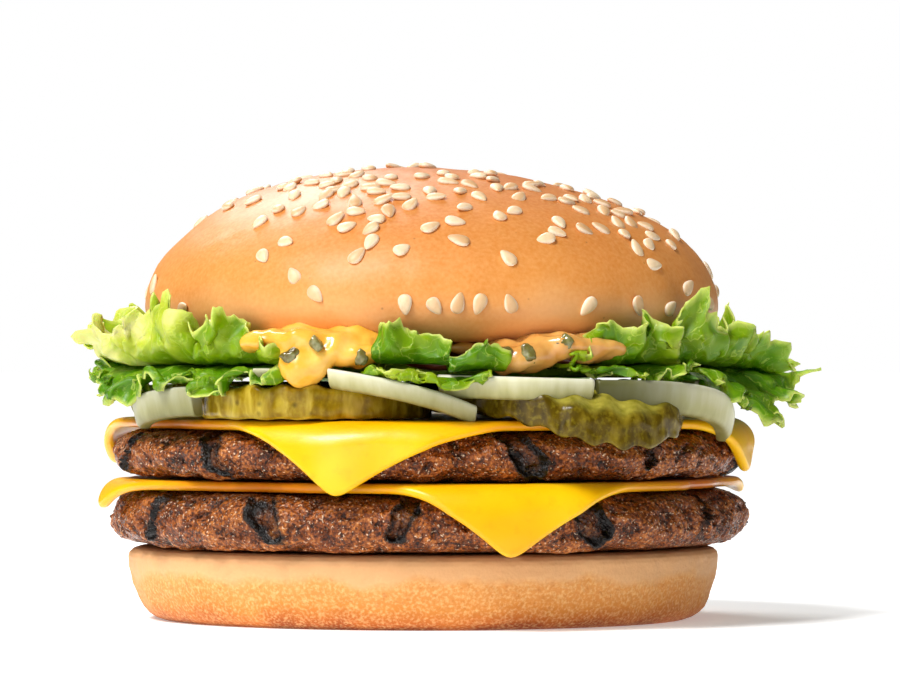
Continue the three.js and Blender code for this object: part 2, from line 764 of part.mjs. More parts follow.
const dome = makeCrownDome();
const bacon = carved(makeBacon(), [grown(dome, CUT_GAP), ...roomAround]);
addPiece('bacon', bacon, MATERIALS.bacon);
roomAround.push(grown(bacon, CUT_GAP));

const bed = carved(makeLettuceBed(), roomAround);
addPiece('lettuce_bed', bed, MATERIALS.lettuce);
roomAround.push(grown(bed, CUT_GAP));

const sauce = makeSauce([grown(dome, CUT_GAP), ...roomAround]);
addPiece('sauce', sauce, MATERIALS.sauce);
roomAround.push(grown(sauce, CUT_GAP));

addPiece('crown', makeCrown(dome), MATERIALS.crown);
roomAround.push(grown(dome, LEAF_CROWN_ROOM));

for (const leaf of LEAVES) {
  const geometry = carved(makeLeaf(leaf), roomAround);
  addPiece(leaf.name, geometry, MATERIALS.lettuce);
  roomAround.push(grown(geometry, CUT_GAP));
}

export default burger;
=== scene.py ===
# Looks of a double cheeseburger with bacon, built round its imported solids.
# Sizes are in millimetres until a mesh is made, and the origin of every piece is the part's own.

import math

import bmesh
import bpy
import numpy as np
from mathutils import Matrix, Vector, noise


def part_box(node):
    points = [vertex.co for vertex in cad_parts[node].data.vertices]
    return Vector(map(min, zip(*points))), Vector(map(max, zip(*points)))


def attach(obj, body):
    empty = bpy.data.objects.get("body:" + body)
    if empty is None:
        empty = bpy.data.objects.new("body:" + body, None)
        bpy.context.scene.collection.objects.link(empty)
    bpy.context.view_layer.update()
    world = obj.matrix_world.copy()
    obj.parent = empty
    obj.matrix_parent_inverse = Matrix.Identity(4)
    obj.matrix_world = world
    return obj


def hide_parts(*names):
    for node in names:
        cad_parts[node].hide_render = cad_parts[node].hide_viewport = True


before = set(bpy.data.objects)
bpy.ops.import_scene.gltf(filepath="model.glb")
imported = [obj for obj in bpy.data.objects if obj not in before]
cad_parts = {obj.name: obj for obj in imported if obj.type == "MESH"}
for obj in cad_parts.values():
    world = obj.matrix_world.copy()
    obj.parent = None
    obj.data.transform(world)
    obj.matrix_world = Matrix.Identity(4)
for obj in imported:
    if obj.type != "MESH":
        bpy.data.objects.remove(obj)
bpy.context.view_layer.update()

MM = 0.001
TAU = 2 * math.pi

# Camera and light

CAMERA_AT = (4.5, -1000.0, 48.8)
VIEW_WIDTH = 162.0
SENSOR_WIDTH = 36.0
SUN = {"from": (-0.47, -0.47, 1.0), "strength": 2.7, "angle": 18}
GLOSS_LIGHTS = {
    "upper_left_softbox": {"at": (-330, -380, 470), "size": 240, "watts": 1.2},
    "front_softbox": {"at": (-260, -560, 150), "size": 260, "watts": 0.6},
    "right_softbox": {"at": (470, -330, 190), "size": 200, "watts": 0.06},
    "rear_softbox": {"at": (-150, 430, 470), "size": 260, "watts": 2.4},
}
SHOWN_SKY = 1.0
AMBIENT = 0.11
FLOOR_GLOW = 0.3
FLOOR_COLOUR = (0.97, 0.97, 0.97, 1)
FLOOR_REACH = 9000
LIGHT_TARGET = (0, 0, 0.045)

# Rows and sides, or columns, of the grid that each piece is made of

GRID = {
    "crown": (130, 300), "heel": (84, 520), "patty": (86, 760), "cheese": (26, 480), "pickle": (32, 200),
    "bacon": (60, 140), "sauce_bed": (60, 96), "sauce_lobe": (20, 28), "relish_bit": (24, 32),
    "seed": (13, 18), "lettuce_bed": (50, 160),
}
CROWN_FLOOR_ROWS = 14
ONION_SECTION = 28
ONION_STEP = 0.5
LEAF_ROWS = 56
LEAF_STEP = 0.42

# Sizes of the pieces

# An outline is given by shares of the radius and of the height, from the top middle to the bottom middle.
HEEL_TALL = 13
HEEL_OUTLINE = [
    (0, 1), (0.5, 1), (0.93, 1), (0.965, 0.995), (0.985, 0.97), (0.997, 0.92), (1, 0.86), (0.995, 0.7),
    (0.985, 0.52), (0.975, 0.4), (0.963, 0.27), (0.951, 0.17), (0.935, 0.09), (0.915, 0.035), (0.89, 0),
    (0.5, 0), (0, 0),
]
PATTY_OUTLINE = [
    (0, 1), (0.5, 1), (0.86, 1), (0.91, 0.985), (0.945, 0.93), (0.97, 0.84), (0.987, 0.72), (0.997, 0.6),
    (1, 0.48), (0.995, 0.34), (0.985, 0.23), (0.965, 0.12), (0.935, 0.05), (0.87, 0), (0.5, 0), (0, 0),
]
PATTIES = {
    "patty_lower": {
        "x": 0.65, "radius": 57.1, "low": 13.3, "high": 23.3, "phase": 0.4,
        "chars": (-147, -120.5, -93.5, -62, -30, 5, 38, 72, 105, 140, 172)},
    "patty_upper": {
        "x": 0.35, "radius": 56.3, "low": 25.6, "high": 34.0, "phase": 2.1,
        "chars": (-160, -132.5, -101, -73.5, -44, -12, 20, 52, 85, 118, 150)},
}
CRAG = 0.6
CHEESE_THICK = 1.7
CHEESE_BEND = 3.3
CHEESE_TIP_ROUND = 2.0
CHEESES = {
    "cheese_lower": {
        "x": 0.65, "base": 23.6, "edge": 55.0, "turn": -76.2, "rest": 52.0, "phase": 0.5,
        "corners": [(15.6, 13, 16), (6.5, 12, 12), (12.5, 15, 14), (8.4, 11, 15)]},
    "cheese_upper": {
        "x": 0.35, "base": 34.3, "edge": 54.2, "turn": -105.1, "rest": 51.5, "phase": 2.0,
        "corners": [(15.6, 12, 18), (12.3, 13, 12), (12.5, 15, 15), (11.5, 12, 14)]},
}
PICKLE_RADIUS = 20.0
PICKLE_WALL = 1.1
PICKLE_WAVE = 5.4
PICKLE_BASE = 36.5
PICKLE_DROOP_LENGTH = 30
# The last number of each pickle is how far its skin is painted as top-lit rather than shaded.
PICKLES = {
    "pickle_left": {
        "x": -18.8, "y": -33.5, "thick": 5.1, "turn": 0, "droop": 70, "ripple": 0.35,
        "sink": 0.35, "ripe": 0.85},
    "pickle_right": {
        "x": 24.9, "y": -37.0, "thick": 5.6, "turn": 3, "droop": 51, "ripple": 0.45, "ripe": 0.15},
    "pickle_far_right": {
        "x": 27.5, "y": 5.0, "thick": 4.6, "turn": 62, "droop": 70, "ripple": 0.6, "ripe": 0.1},
    "pickle_far_left": {
        "x": -26.0, "y": 13.0, "thick": 4.6, "turn": 140, "droop": 70, "ripple": 0.6, "ripe": 0.25},
    "pickle_back": {
        "x": 4.0, "y": 40.5, "thick": 5.2, "turn": 4, "droop": 52, "ripple": 0.5, "ripe": 0.6},
}
ONION_THICK = 2.8
# Where an onion gives two shares, at the start and the end of its arc, they are how much dark olive painted
# shade lies on it; the others take 0.3 and 0.2.
ONIONS = {
    "onion_left": {
        "x": -23.5, "y": -21, "ring": 26.5, "arc": (-168, -126), "low": 36.6,
        "high": 41.8, "lead": 2.3, "olive": (0.3, 0.5)},
    "onion_strip": {
        "x": -3.6, "y": -29, "ring": 27.5, "arc": (-116, -64), "low": 39.6, "high": 43.0,
        "slope": -0.16, "drop": 2.3, "olive": (0.0, 0.3)},
    "onion_middle": {
        "x": 15, "y": -30, "ring": 25.2, "arc": (-118, -58), "low": 39.6, "high": 43.6,
        "slope": -0.03, "olive": (0.15, 0.0)},
    "onion_right": {
        "x": 24.5, "y": -21, "ring": 28.8, "arc": (-80, -6), "low": 37.4, "high": 43.0,
        "drop": 5.4, "olive": (0.95, 0.05)},
    "onion_small": {"x": -26, "y": -27, "ring": 24, "arc": (-97, -84), "low": 42.9, "high": 45.0},
    "onion_back_right": {
        "x": 24, "y": 26, "ring": 27, "arc": (12, 70), "low": 37.2, "high": 42.6, "drop": 1},
    "onion_back_left": {
        "x": -25, "y": 20, "ring": 28, "arc": (104, 176), "low": 37.0, "high": 42.4, "slope": 0.03},
}
BACON = {"length": 34, "width": 24, "thick": 1.8, "x": 9, "front": -48, "z": 46.9, "wave": 27,
         "crest": 16, "rise": 1.4}
SAUCE_BED = {"x": 1.2, "radius": 46, "inner": 0.97, "bottom": 46.6, "slope": (30, 47.0), "rim_bottom": 47.9,
             "top": 49.2}
SAUCE_SKIN = {"voxel": 0.62, "smoothing": 0.6, "rounds": 8, "swell": 1.2, "swell_size": 4.5}
# Middle, then half the width, depth and height of each lobe; middle and size of each bit.
SAUCE_LOBES = [
    (-18.5, -46.5, 49.4, 13.2, 7.5, 2.7),
    (-14.0, -50.2, 47.9, 8.6, 4.6, 2.7),
    (-20.3, -52.6, 46.6, 4.7, 3.2, 5.2),
    (23.0, -44.6, 48.6, 11.8, 6.8, 2.6),
    (16.0, -49.2, 46.6, 6.4, 4.2, 2.6),
]
SAUCE_BITS = [
    (-22.6, -54.9, 47.2, 1.4),
    (-18.4, -55.6, 49.2, 1.2),
    (-10.6, -54.2, 46.8, 1.3),
    (13.8, -53.0, 47.6, 1.2),
    (18.0, -53.0, 47.4, 1.5),
    (23.8, -51.0, 49.2, 1.5),
]
CROWN = {"x": 1.2, "radius": 51.5, "foot": 45, "widest": 56, "top": 80.9, "bottom": 49.5, "lean": -3.2}
CROWN_CENTRE = (CROWN["x"], 0, 50.0)
SEED = {"length": 3.6, "width": 2.3, "thick": 1.25, "proud": 0.2}
EVEN_SEEDS = {"count": 116, "start": 20817, "apart": 3.0, "spread": 97}
SEED_PATCHES = [
    {"count": 40, "start": 4711, "apart": 2.7, "middle": (-5, -37), "spread": (25, 21)},
    {"count": 22, "start": 90210, "apart": 3.0, "middle": (33, -31), "spread": (30, 20)},
]
LETTUCE_BED = {"radius": 41, "low": 43.3, "high": 46.1}
LEAF_THICK = 0.7
LEAF_RUFFLE = 11.0
LEAF_RIB_GAP = 6.5
LEAF_SHOULDER = 57.5
# A leaf's angle times this radius is its way along the rim.
LEAF_RIM = 57
LEAF_LEDGE = 51.5
LEAF_TURN = 59.5
UPPER_LEAF = {"seat": 46.7, "ruffle": 1.5, "root": 42.5, "dips": (1.0, 2.7)}
LOWER_LEAF = {"seat": 45.2, "ruffle": 1.5, "root": 42.5, "dips": (0.0, 0.2)}
# Each edge is a row of points: angle in degrees, radius and height.
LEAVES = {
    "lettuce_left_upper": {**UPPER_LEAF, "pale": 0.95, "pale_end": 0.5, "edge": [
        (-178, 59, 50), (-167, 59, 54), (-158, 57.8, 52.8), (-150, 57.3, 57), (-141, 56.8, 57.2),
        (-134, 56.8, 52.4), (-127, 56.5, 56), (-121, 56.5, 51.6), (-114, 56, 48.6)]},
    "lettuce_left_lower": {**LOWER_LEAF, "pale": 0.25, "edge": [
        (-179, 58.6, 47), (-166, 59.6, 42.4), (-153, 60, 38.6), (-141, 59, 42.2), (-130, 58.5, 40.5),
        (-121, 58.4, 42), (-115, 57.4, 44.6)]},
    "lettuce_centre_upper": {**UPPER_LEAF, "seat": 46.8, "ruffle": 0.9, "root": 46, "pale": 0.4, "edge": [
        (-99, 55, 53.4), (-95, 55.4, 54.5), (-90, 55.8, 52.3), (-85, 56, 49.6)]},
    "lettuce_centre_right": {**UPPER_LEAF, "seat": 46.0, "ruffle": 0.6, "root": 46, "pale": 0.35, "edge": [
        (-85.5, 58, 47.4), (-82, 58.6, 49.7), (-78.5, 58.2, 50.2), (-75.5, 57.2, 48.4)]},
    "lettuce_centre_lower": {**LOWER_LEAF, "seat": 43.6, "ruffle": 0.8, "root": 46, "pale": 0.45, "edge": [
        (-100, 57, 45.3), (-95, 58, 44.8), (-90, 59, 43.2), (-86, 59.5, 41.2), (-79, 58.5, 43.4)]},
    "lettuce_right_upper": {**UPPER_LEAF, "pale": 0.45, "edge": [
        (-64, 55.5, 47.4), (-59, 56, 51.5), (-54, 57, 52.5), (-49, 57.2, 54.4), (-43, 57.5, 53),
        (-39, 57, 49)]},
    "lettuce_right_lower": {**LOWER_LEAF, "ruffle": 1.2, "pale": 0.3, "edge": [
        (-62, 57, 46.3), (-56, 59, 43.6), (-50, 60.5, 41.9), (-44, 60.5, 43.6), (-37, 59, 46)]},
    "lettuce_far_right_upper": {**UPPER_LEAF, "pale": 0.4, "edge": [
        (-38, 56.8, 55), (-34, 57.6, 56.8), (-28, 58.2, 51.6), (-22, 59.2, 54), (-15, 61.3, 51.4),
        (-9, 64, 48), (-3, 65.5, 45.4), (4, 63.5, 48), (9, 61, 47.4)]},
    "lettuce_far_right_lower": {**LOWER_LEAF, "ruffle": 1.6, "pale": 0.3, "edge": [
        (-33, 60.5, 42.6), (-26, 63, 38), (-19, 64.5, 34.2), (-12, 67, 38.4), (-5, 69, 40.8),
        (3, 66.5, 43.4)]},
    "lettuce_back_right_upper": {**UPPER_LEAF, "pale": 0.6, "edge": [
        (10, 59, 50), (20, 58, 54.5), (31, 57.5, 56.5), (42, 57, 53), (53, 57, 55.5), (62, 56.5, 50)]},
    "lettuce_back_right_lower": {**LOWER_LEAF, "pale": 0.3, "edge": [
        (6, 65, 45.8), (14, 63.5, 41.5), (24, 61.5, 39.4), (33, 60.5, 42.5), (42, 60.5, 40.2),
        (50, 59.5, 45)]},
    "lettuce_back_lower": {**LOWER_LEAF, "pale": 0.3, "edge": [
        (53, 59, 46), (64, 61, 41.5), (76, 60.5, 43.5), (88, 60.5, 40.5), (99, 61, 42.8),
        (108, 60, 39.8), (117, 59, 45)]},
    "lettuce_back_upper": {**UPPER_LEAF, "ruffle": 1.4, "pale": 0.5, "edge": [
        (65, 57, 50), (76, 57.5, 55), (86, 56.5, 53), (96, 57, 56.5), (107, 57, 53), (118, 57.5, 56.8),
        (128, 57, 50)]},
    "lettuce_back_left_upper": {**UPPER_LEAF, "pale": 0.6, "edge": [
        (131, 57.5, 50), (140, 58.5, 55.5), (150, 58, 53.5), (160, 58.5, 56.6), (170, 59, 53.6),
        (179, 59, 49.6)]},
    "lettuce_back_left_lower": {**LOWER_LEAF, "ruffle": 1.6, "pale": 0.35, "edge": [
        (120, 58.5, 46), (132, 60.5, 41), (145, 61.5, 42.6), (158, 61, 39.8), (170, 60, 45.6)]},
}


# Numbers

def mix(a, b, t):
    return a + (b - a) * t


def smooth(low, high, value):
    t = np.clip((value - low) / (high - low), 0, 1)
    return t * t * (3 - 2 * t)


def lumps(points, size, seed, octaves):
    """Soft noise from about -1 to 1 at each point, whose lumps have that size in mm."""
    offset = Vector((17.3 * seed, 5.1 * seed, 9.7 * seed))
    flat = (points.reshape(-1, 3) / size).tolist()
    values = [noise.fractal(Vector(p) + offset, 1.0, 2.0, octaves) for p in flat]
    return np.array(values).reshape(points.shape[:-1])


def cells(points, size, seed):
    """How far each point is from the nearest cell centre, in cells."""
    offset = Vector((7.9 * seed, 3.3 * seed, 11.1 * seed))
    flat = (points.reshape(-1, 3) / size).tolist()
    nearest = [noise.voronoi(Vector(p) + offset)[0][0] for p in flat]
    return np.array(nearest).reshape(points.shape[:-1])


def unit(direction):
    return direction / np.linalg.norm(direction)


def turned(a, b, angle):
    """Two coordinates after a turn by that angle."""
    return a * math.cos(angle) - b * math.sin(angle), a * math.sin(angle) + b * math.cos(angle)


# Meshes

def new_object(name, points, faces, attributes=None):
    """An object of these points in mm, with number attributes on its vertices."""
    mesh = bpy.data.meshes.new(name)
    mesh.from_pydata((np.asarray(points) * MM).tolist(), [], faces)
    for key, values in (attributes or {}).items():
        layer = mesh.attributes.new(key, "FLOAT", "POINT")
        layer.data.foreach_set("value", np.asarray(values, dtype=np.float32).ravel())
    mesh.shade_smooth()
    mesh.update()
    piece = bpy.data.objects.new(name, mesh)
    bpy.context.scene.collection.objects.link(piece)
    return piece


def ring_faces(rows, sides):
    """Faces of rings that are closed at both ends by one point: first point, rings, last point."""
    last = 1 + rows * sides
    faces = []
    for side in range(sides):
        after = (side + 1) % sides
        faces.append((0, 1 + side, 1 + after))
        faces.append((last, 1 + (rows - 1) * sides + after, 1 + (rows - 1) * sides + side))
    for row in range(rows - 1):
        upper = 1 + row * sides
        lower = upper + sides
        for side in range(sides):
            after = (side + 1) % sides
            faces.append((upper + side, lower + side, lower + after, upper + after))
    return faces


def ring_mesh(rings):
    """Points and faces of rings whose first and last have shrunk to a point."""
    rows, sides = rings.shape[:2]
    points = np.vstack([rings[0, 0], rings[1:-1].reshape(-1, 3), rings[-1, 0]])
    return points, ring_faces(rows - 2, sides)


def ring_piece(name, rings, attributes=None):
    """A closed piece from rings of points, from its top middle to its bottom middle."""
    rows, sides = rings.shape[:2]
    inner = rings[1:-1].reshape(-1, 3)
    points = np.vstack([rings[0].mean(axis=0), inner, rings[-1].mean(axis=0)])
    values = {}
    for key, grid in (attributes or {}).items():
        values[key] = np.concatenate([[grid[0].mean()], grid[1:-1].ravel(), [grid[-1].mean()]])
    return new_object(name, points, ring_faces(rows - 2, sides), values)


def sheet_piece(name, front, back, attributes=None):
    """A thin closed piece from two grids of points, joined round their borders."""
    rows, columns = front.shape[:2]
    size = rows * columns
    points = np.vstack([front.reshape(-1, 3), back.reshape(-1, 3)])
    index = np.arange(size).reshape(rows, columns)
    corners = [index[:-1, :-1], index[:-1, 1:], index[1:, 1:], index[1:, :-1]]
    top = np.stack(corners, axis=-1).reshape(-1, 4)
    bottom = top[:, ::-1] + size
    border = np.concatenate([index[0, :-1], index[:-1, -1], index[-1, :0:-1], index[:0:-1, 0]])
    after = np.roll(border, -1)
    wall = np.stack([after, border, border + size, after + size], axis=-1)
    faces = np.vstack([top, bottom, wall]).tolist()
    values = {key: np.concatenate([grid.ravel(), grid.ravel()]) for key, grid in (attributes or {}).items()}
    return new_object(name, points, faces, values)


def apply_modifier(piece, kind, **settings):
    modifier = piece.modifiers.new(kind.lower(), kind)
    for key, value in settings.items():
        setattr(modifier, key, value)
    depsgraph = bpy.context.evaluated_depsgraph_get()
    mesh = bpy.data.meshes.new_from_object(piece.evaluated_get(depsgraph))
    piece.modifiers.clear()
    piece.data = mesh


def swell_out(piece, height, size):
    """Moves the skin in and out by soft noise of that height and size in mm."""
    vertices = piece.data.vertices
    points = np.empty(len(vertices) * 3, dtype=np.float32)
    normals = np.empty_like(points)
    vertices.foreach_get("co", points)
    vertices.foreach_get("normal", normals)
    points = points.reshape(-1, 3)
    swell = height * lumps(points / MM, size, 0, 2)[:, None] * MM
    vertices.foreach_set("co", (points + normals.reshape(-1, 3) * swell).ravel())
    piece.data.update()


def join_points(name, parts, attributes=None):
    """One object from several (points, faces) pairs."""
    points = []
    faces = []
    count = 0
    for part_points, part_faces in parts:
        points.append(part_points)
        faces += [tuple(count + i for i in face) for face in part_faces]
        count += len(part_points)
    return new_object(name, np.vstack(points), faces, attributes)


def face_outward(piece):
    """Turns all faces to point out of a closed piece."""
    solid = bmesh.new()
    solid.from_mesh(piece.data)
    bmesh.ops.recalc_face_normals(solid, faces=solid.faces)
    solid.to_mesh(piece.data)
    solid.free()
    return piece


def place(piece, nodes, material):
    piece.data.materials.clear()
    piece.data.materials.append(material)
    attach(piece, "root")
    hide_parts(*nodes)


# Material nodes

# The places of the sockets for the share, the two colours and the result on a node that mixes colours.
COLOUR_MIX_INPUTS = (0, 6, 7)
COLOUR_MIX_OUTPUT = 2


def srgb(red, green, blue):
    channels = []
    for value in (red, green, blue):
        share = value / 255
        channels.append(share / 12.92 if share <= 0.04045 else ((share + 0.055) / 1.055) ** 2.4)
    return (*channels, 1.0)


class Paint:
    """A Principled material and short calls for the nodes that feed it.

    Its softness is the weight, scale and radius of its subsurface light.
    """

    def __init__(self, name, roughness, softness=(0.0, 0.05, (1.0, 0.2, 0.1)), **sockets):
        self.material = bpy.data.materials.new(name)
        self.material.use_nodes = True
        self.tree = self.material.node_tree
        self.shader = self.tree.nodes["Principled BSDF"]
        self.shader.inputs["Roughness"].default_value = roughness
        for key, value in zip(("Weight", "Scale", "Radius"), softness):
            self.shader.inputs["Subsurface " + key].default_value = value
        for key, value in sockets.items():
            self.shader.inputs[key.replace("_", " ")].default_value = value
        coordinates = self.tree.nodes.new("ShaderNodeTexCoord")
        self.place = coordinates.outputs["Object"]

    def node(self, kind, inputs=None, **settings):
        made = self.tree.nodes.new(kind)
        for key, value in settings.items():
            setattr(made, key, value)
        for key, value in (inputs or {}).items():
            self.feed(made.inputs[key], value)
        return made

    def feed(self, socket, value):
        if isinstance(value, bpy.types.NodeSocket):
            self.tree.links.new(value, socket)
        else:
            socket.default_value = value

    def set(self, key, value):
        self.feed(self.shader.inputs[key], value)

    def finished(self, colour, normal):
        self.set("Base Color", colour)
        self.set("Normal", normal)
        return self.material

    def stretched(self, x, y, z):
        return self.node("ShaderNodeMapping", {"Vector": self.place, "Scale": (x, y, z)}).outputs["Vector"]

    def noise(self, size, detail, twist=0.0, at=None):
        made = self.node("ShaderNodeTexNoise", {
            "Vector": at or self.place, "Scale": 1000 / size, "Detail": detail, "Distortion": twist})
        return made.outputs["Fac"]

    def cells(self, size):
        made = self.node("ShaderNodeTexVoronoi", {"Vector": self.place, "Scale": 1000 / size})
        return made.outputs["Distance"]

    def attribute(self, name):
        return self.node("ShaderNodeAttribute", attribute_name=name).outputs["Fac"]

    def along(self, axis):
        return self.node("ShaderNodeSeparateXYZ", {"Vector": self.place}).outputs[axis]

    def span(self, value, low, high, to_low=0.0, to_high=1.0):
        made = self.node("ShaderNodeMapRange", {
            "Value": value, "From Min": low, "From Max": high, "To Min": to_low, "To Max": to_high})
        return made.outputs["Result"]

    def math(self, operation, a, b):
        made = self.node("ShaderNodeMath", operation=operation)
        self.feed(made.inputs[0], a)
        self.feed(made.inputs[1], b)
        return made.outputs[0]

    def ramp(self, value, stops):
        """A colour by a value: each stop is a place from 0 to 1, then red, green and blue up to 255."""
        made = self.node("ShaderNodeValToRGB", {"Fac": value})
        elements = made.color_ramp.elements
        elements.remove(elements[1])
        first, *others = stops
        elements[0].position = first[0]
        elements[0].color = srgb(*first[1:])
        for position, *colour in others:
            elements.new(position).color = srgb(*colour)
        return made.outputs["Color"]

    def mix(self, share, a, b, blend="MIX"):
        made = self.node("ShaderNodeMix", data_type="RGBA", blend_type=blend)
        share_in, first_colour, second_colour = (made.inputs[i] for i in COLOUR_MIX_INPUTS)
        self.feed(share_in, share)
        self.feed(first_colour, a)
        self.feed(second_colour, b)
        return made.outputs[COLOUR_MIX_OUTPUT]

    def bump(self, height, distance, strength, under=None):
        made = self.node("ShaderNodeBump", {
            "Height": height, "Distance": distance * MM, "Strength": strength})
        if under is not None:
            self.feed(made.inputs["Normal"], under)
        return made.outputs["Normal"]


# Materials

def crown_material():
    paint = Paint("crown_crust", 0.46, (0.1, 0.004, (1.0, 0.5, 0.25)), Specular_IOR_Level=0.4)
    broad = paint.span(paint.noise(30, 2.0), 0.3, 0.7, -0.14, 0.14)
    tone = paint.math("ADD", paint.span(paint.along("Z"), 0.051, 0.081), broad)
    baked = paint.ramp(tone, [
        (0.0, 234, 172, 106), (0.25, 220, 140, 60), (0.6, 212, 128, 50), (1.0, 196, 106, 34)])
    grain = paint.span(paint.noise(0.7, 4.0), 0.3, 0.7, 0.0, 0.3)
    speckled = paint.mix(grain, baked, srgb(244, 186, 120))
    dots = paint.span(paint.cells(4.2), 0.0, 0.07, 0.7, 0.0)
    colour = paint.mix(dots, speckled, srgb(136, 70, 24))
    skin = paint.bump(paint.noise(2.6, 5.0, 0.5), 0.12, 0.3)
    return paint.finished(colour, paint.bump(paint.noise(0.7, 3.0), 0.05, 0.4, skin))


def seed_material():
    paint = Paint("sesame_seed", 0.45, (0.2, 0.001, (1.0, 0.8, 0.5)))
    own = paint.attribute("own")
    body = paint.ramp(own, [(0.0, 212, 168, 118), (0.5, 230, 194, 148), (1.0, 240, 214, 176)])
    rim = paint.mix(paint.span(paint.attribute("rim"), 0.6, 0.98, 0, 0.8), body, srgb(250, 236, 212))
    colour = paint.mix(paint.span(paint.noise(0.9, 3.0), 0.45, 0.8, 0, 0.4), rim, srgb(208, 160, 108))
    return paint.finished(colour, paint.bump(paint.noise(0.5, 3.0), 0.06, 0.5))


def heel_material():
    paint = Paint("heel_crust", 0.6, (0.08, 0.003, (1.0, 0.5, 0.25)), Specular_IOR_Level=0.25)
    level = paint.span(paint.along("Z"), 0.0, 0.013)
    drift = paint.span(paint.noise(12, 3.0), 0.3, 0.7, -0.12, 0.12)
    uneven = paint.math("ADD", level, drift)
    baked = paint.ramp(uneven, [
        (0.0, 160, 74, 22), (0.1, 194, 106, 40), (0.3, 220, 142, 62), (0.58, 228, 156, 82),
        (0.7, 232, 178, 122), (1.0, 224, 168, 116)])
    porous = paint.span(uneven, 0.56, 0.74, 1.0, 0.1)
    light = paint.math("MULTIPLY", paint.span(paint.noise(0.55, 4.0), 0.45, 0.75, 0, 0.6), porous)
    flecked = paint.mix(light, baked, srgb(252, 216, 150))
    dark = paint.math("MULTIPLY", paint.span(paint.noise(0.8, 4.0, 0.4), 0.58, 0.74, 0.0, 0.55), porous)
    colour = paint.mix(dark, flecked, srgb(196, 112, 46))
    pitted = paint.bump(paint.noise(0.7, 4.0), 0.16, 0.6)
    return paint.finished(colour, paint.bump(paint.noise(2.8, 5.0), 0.25, 0.4, pitted))


def patty_material():
    paint = Paint("grilled_beef", 0.4, Specular_IOR_Level=0.36)
    # Painted shade and light: the relief attribute makes the meat dark in its crevices and lighter on its
    # ridges; the grain adds tone at random.
    relief = paint.span(paint.attribute("relief"), 0.0, 1.0, 0.1, 0.5)
    grain = paint.span(paint.noise(0.6, 4.0, 0.3), 0.3, 0.7, 0.0, 0.5)
    tone = paint.math("ADD", relief, grain)
    meat = paint.ramp(tone, [
        (0.2, 22, 7, 1), (0.38, 74, 32, 7), (0.56, 132, 66, 20), (0.76, 190, 112, 46),
        (0.98, 240, 178, 108)])
    # Darker patches of browning on the meat, at random.
    browned = paint.span(paint.noise(8, 3.0), 0.4, 0.7, 0, 0.45)
    patches = paint.mix(browned, meat, srgb(150, 70, 22), "MULTIPLY")
    # Painted glints: tiny near-white specks in the colour that stand for sparkling highlights.
    fat = paint.span(paint.noise(0.5, 1.0), 0.64, 0.72, 0.0, 0.8)
    speckled = paint.mix(fat, patches, srgb(246, 214, 180))
    colour = paint.mix(paint.attribute("char"), speckled, srgb(10, 4, 2))
    wet = paint.span(paint.noise(1.1, 3.0), 0.4, 0.6, 0.55, 0.16)
    paint.set("Roughness", paint.mix(paint.attribute("char"), wet, (0.16, 0.16, 0.16, 1)))
    coarse = paint.bump(paint.noise(1.3, 5.0, 0.4), 0.8, 1.0)
    return paint.finished(colour, paint.bump(paint.noise(0.5, 2.0), 0.3, 1.0, coarse))


def cheese_material():
    paint = Paint("melted_cheese", 0.33, (0.25, 0.002, (1.0, 0.5, 0.08)), Specular_IOR_Level=0.32,
                  Coat_Weight=0.12, Coat_Roughness=0.1)
    body = paint.ramp(paint.noise(14, 2.0), [(0.3, 255, 178, 0), (0.55, 255, 193, 4), (0.8, 255, 207, 14)])
    greasy = paint.mix(paint.span(paint.noise(2.2, 4.0), 0.55, 0.8, 0, 0.25), body, srgb(238, 140, 6))
    # Painted shade: where the slice's edge sits back under the patty above, between the hanging corners, it
    # is darkened to a deep orange.
    browned = paint.span(paint.attribute("hang"), 0.3, 5.0, 0.9, 0.0)
    colour = paint.mix(browned, greasy, srgb(196, 92, 4))
    slow = paint.bump(paint.noise(8, 2.0), 0.6, 0.4)
    return paint.finished(colour, paint.bump(paint.noise(1.3, 3.0), 0.03, 0.35, slow))


def pickle_material():
    paint = Paint("pickle", 0.26, (0.05, 0.001, (0.8, 1.0, 0.2)), Specular_IOR_Level=0.18,
                  Coat_Weight=0.04, Coat_Roughness=0.12)
    # Painted light: each skin mixes a shaded dark copy and a top-lit light copy, by a share given per pickle.
    ripe = paint.attribute("ripe")
    streaks = paint.noise(2.6, 5.0, 0.4, paint.stretched(1.0, 1.0, 0.35))
    dark = paint.ramp(streaks, [(0.3, 38, 30, 0), (0.5, 72, 57, 0), (0.7, 106, 88, 4)])
    light = paint.ramp(streaks, [(0.28, 98, 70, 0), (0.5, 150, 120, 8), (0.72, 206, 180, 66)])
    skin = paint.mix(ripe, dark, light)
    spots = paint.mix(paint.span(paint.cells(3.1), 0.05, 0.22, 0.6, 0.0), skin, srgb(40, 34, 0))
    mottled = paint.mix(paint.span(paint.noise(0.9, 4.0), 0.5, 0.7, 0, 0.25), spots, srgb(176, 158, 40))
    flesh = paint.ramp(paint.noise(2.2, 4.0), [(0.3, 120, 112, 26), (0.7, 176, 164, 66)])
    colour = paint.mix(paint.attribute("skin"), flesh, mottled)
    warts = paint.bump(paint.cells(3.1), 0.3, 0.35)
    return paint.finished(colour, paint.bump(streaks, 0.25, 0.7, warts))


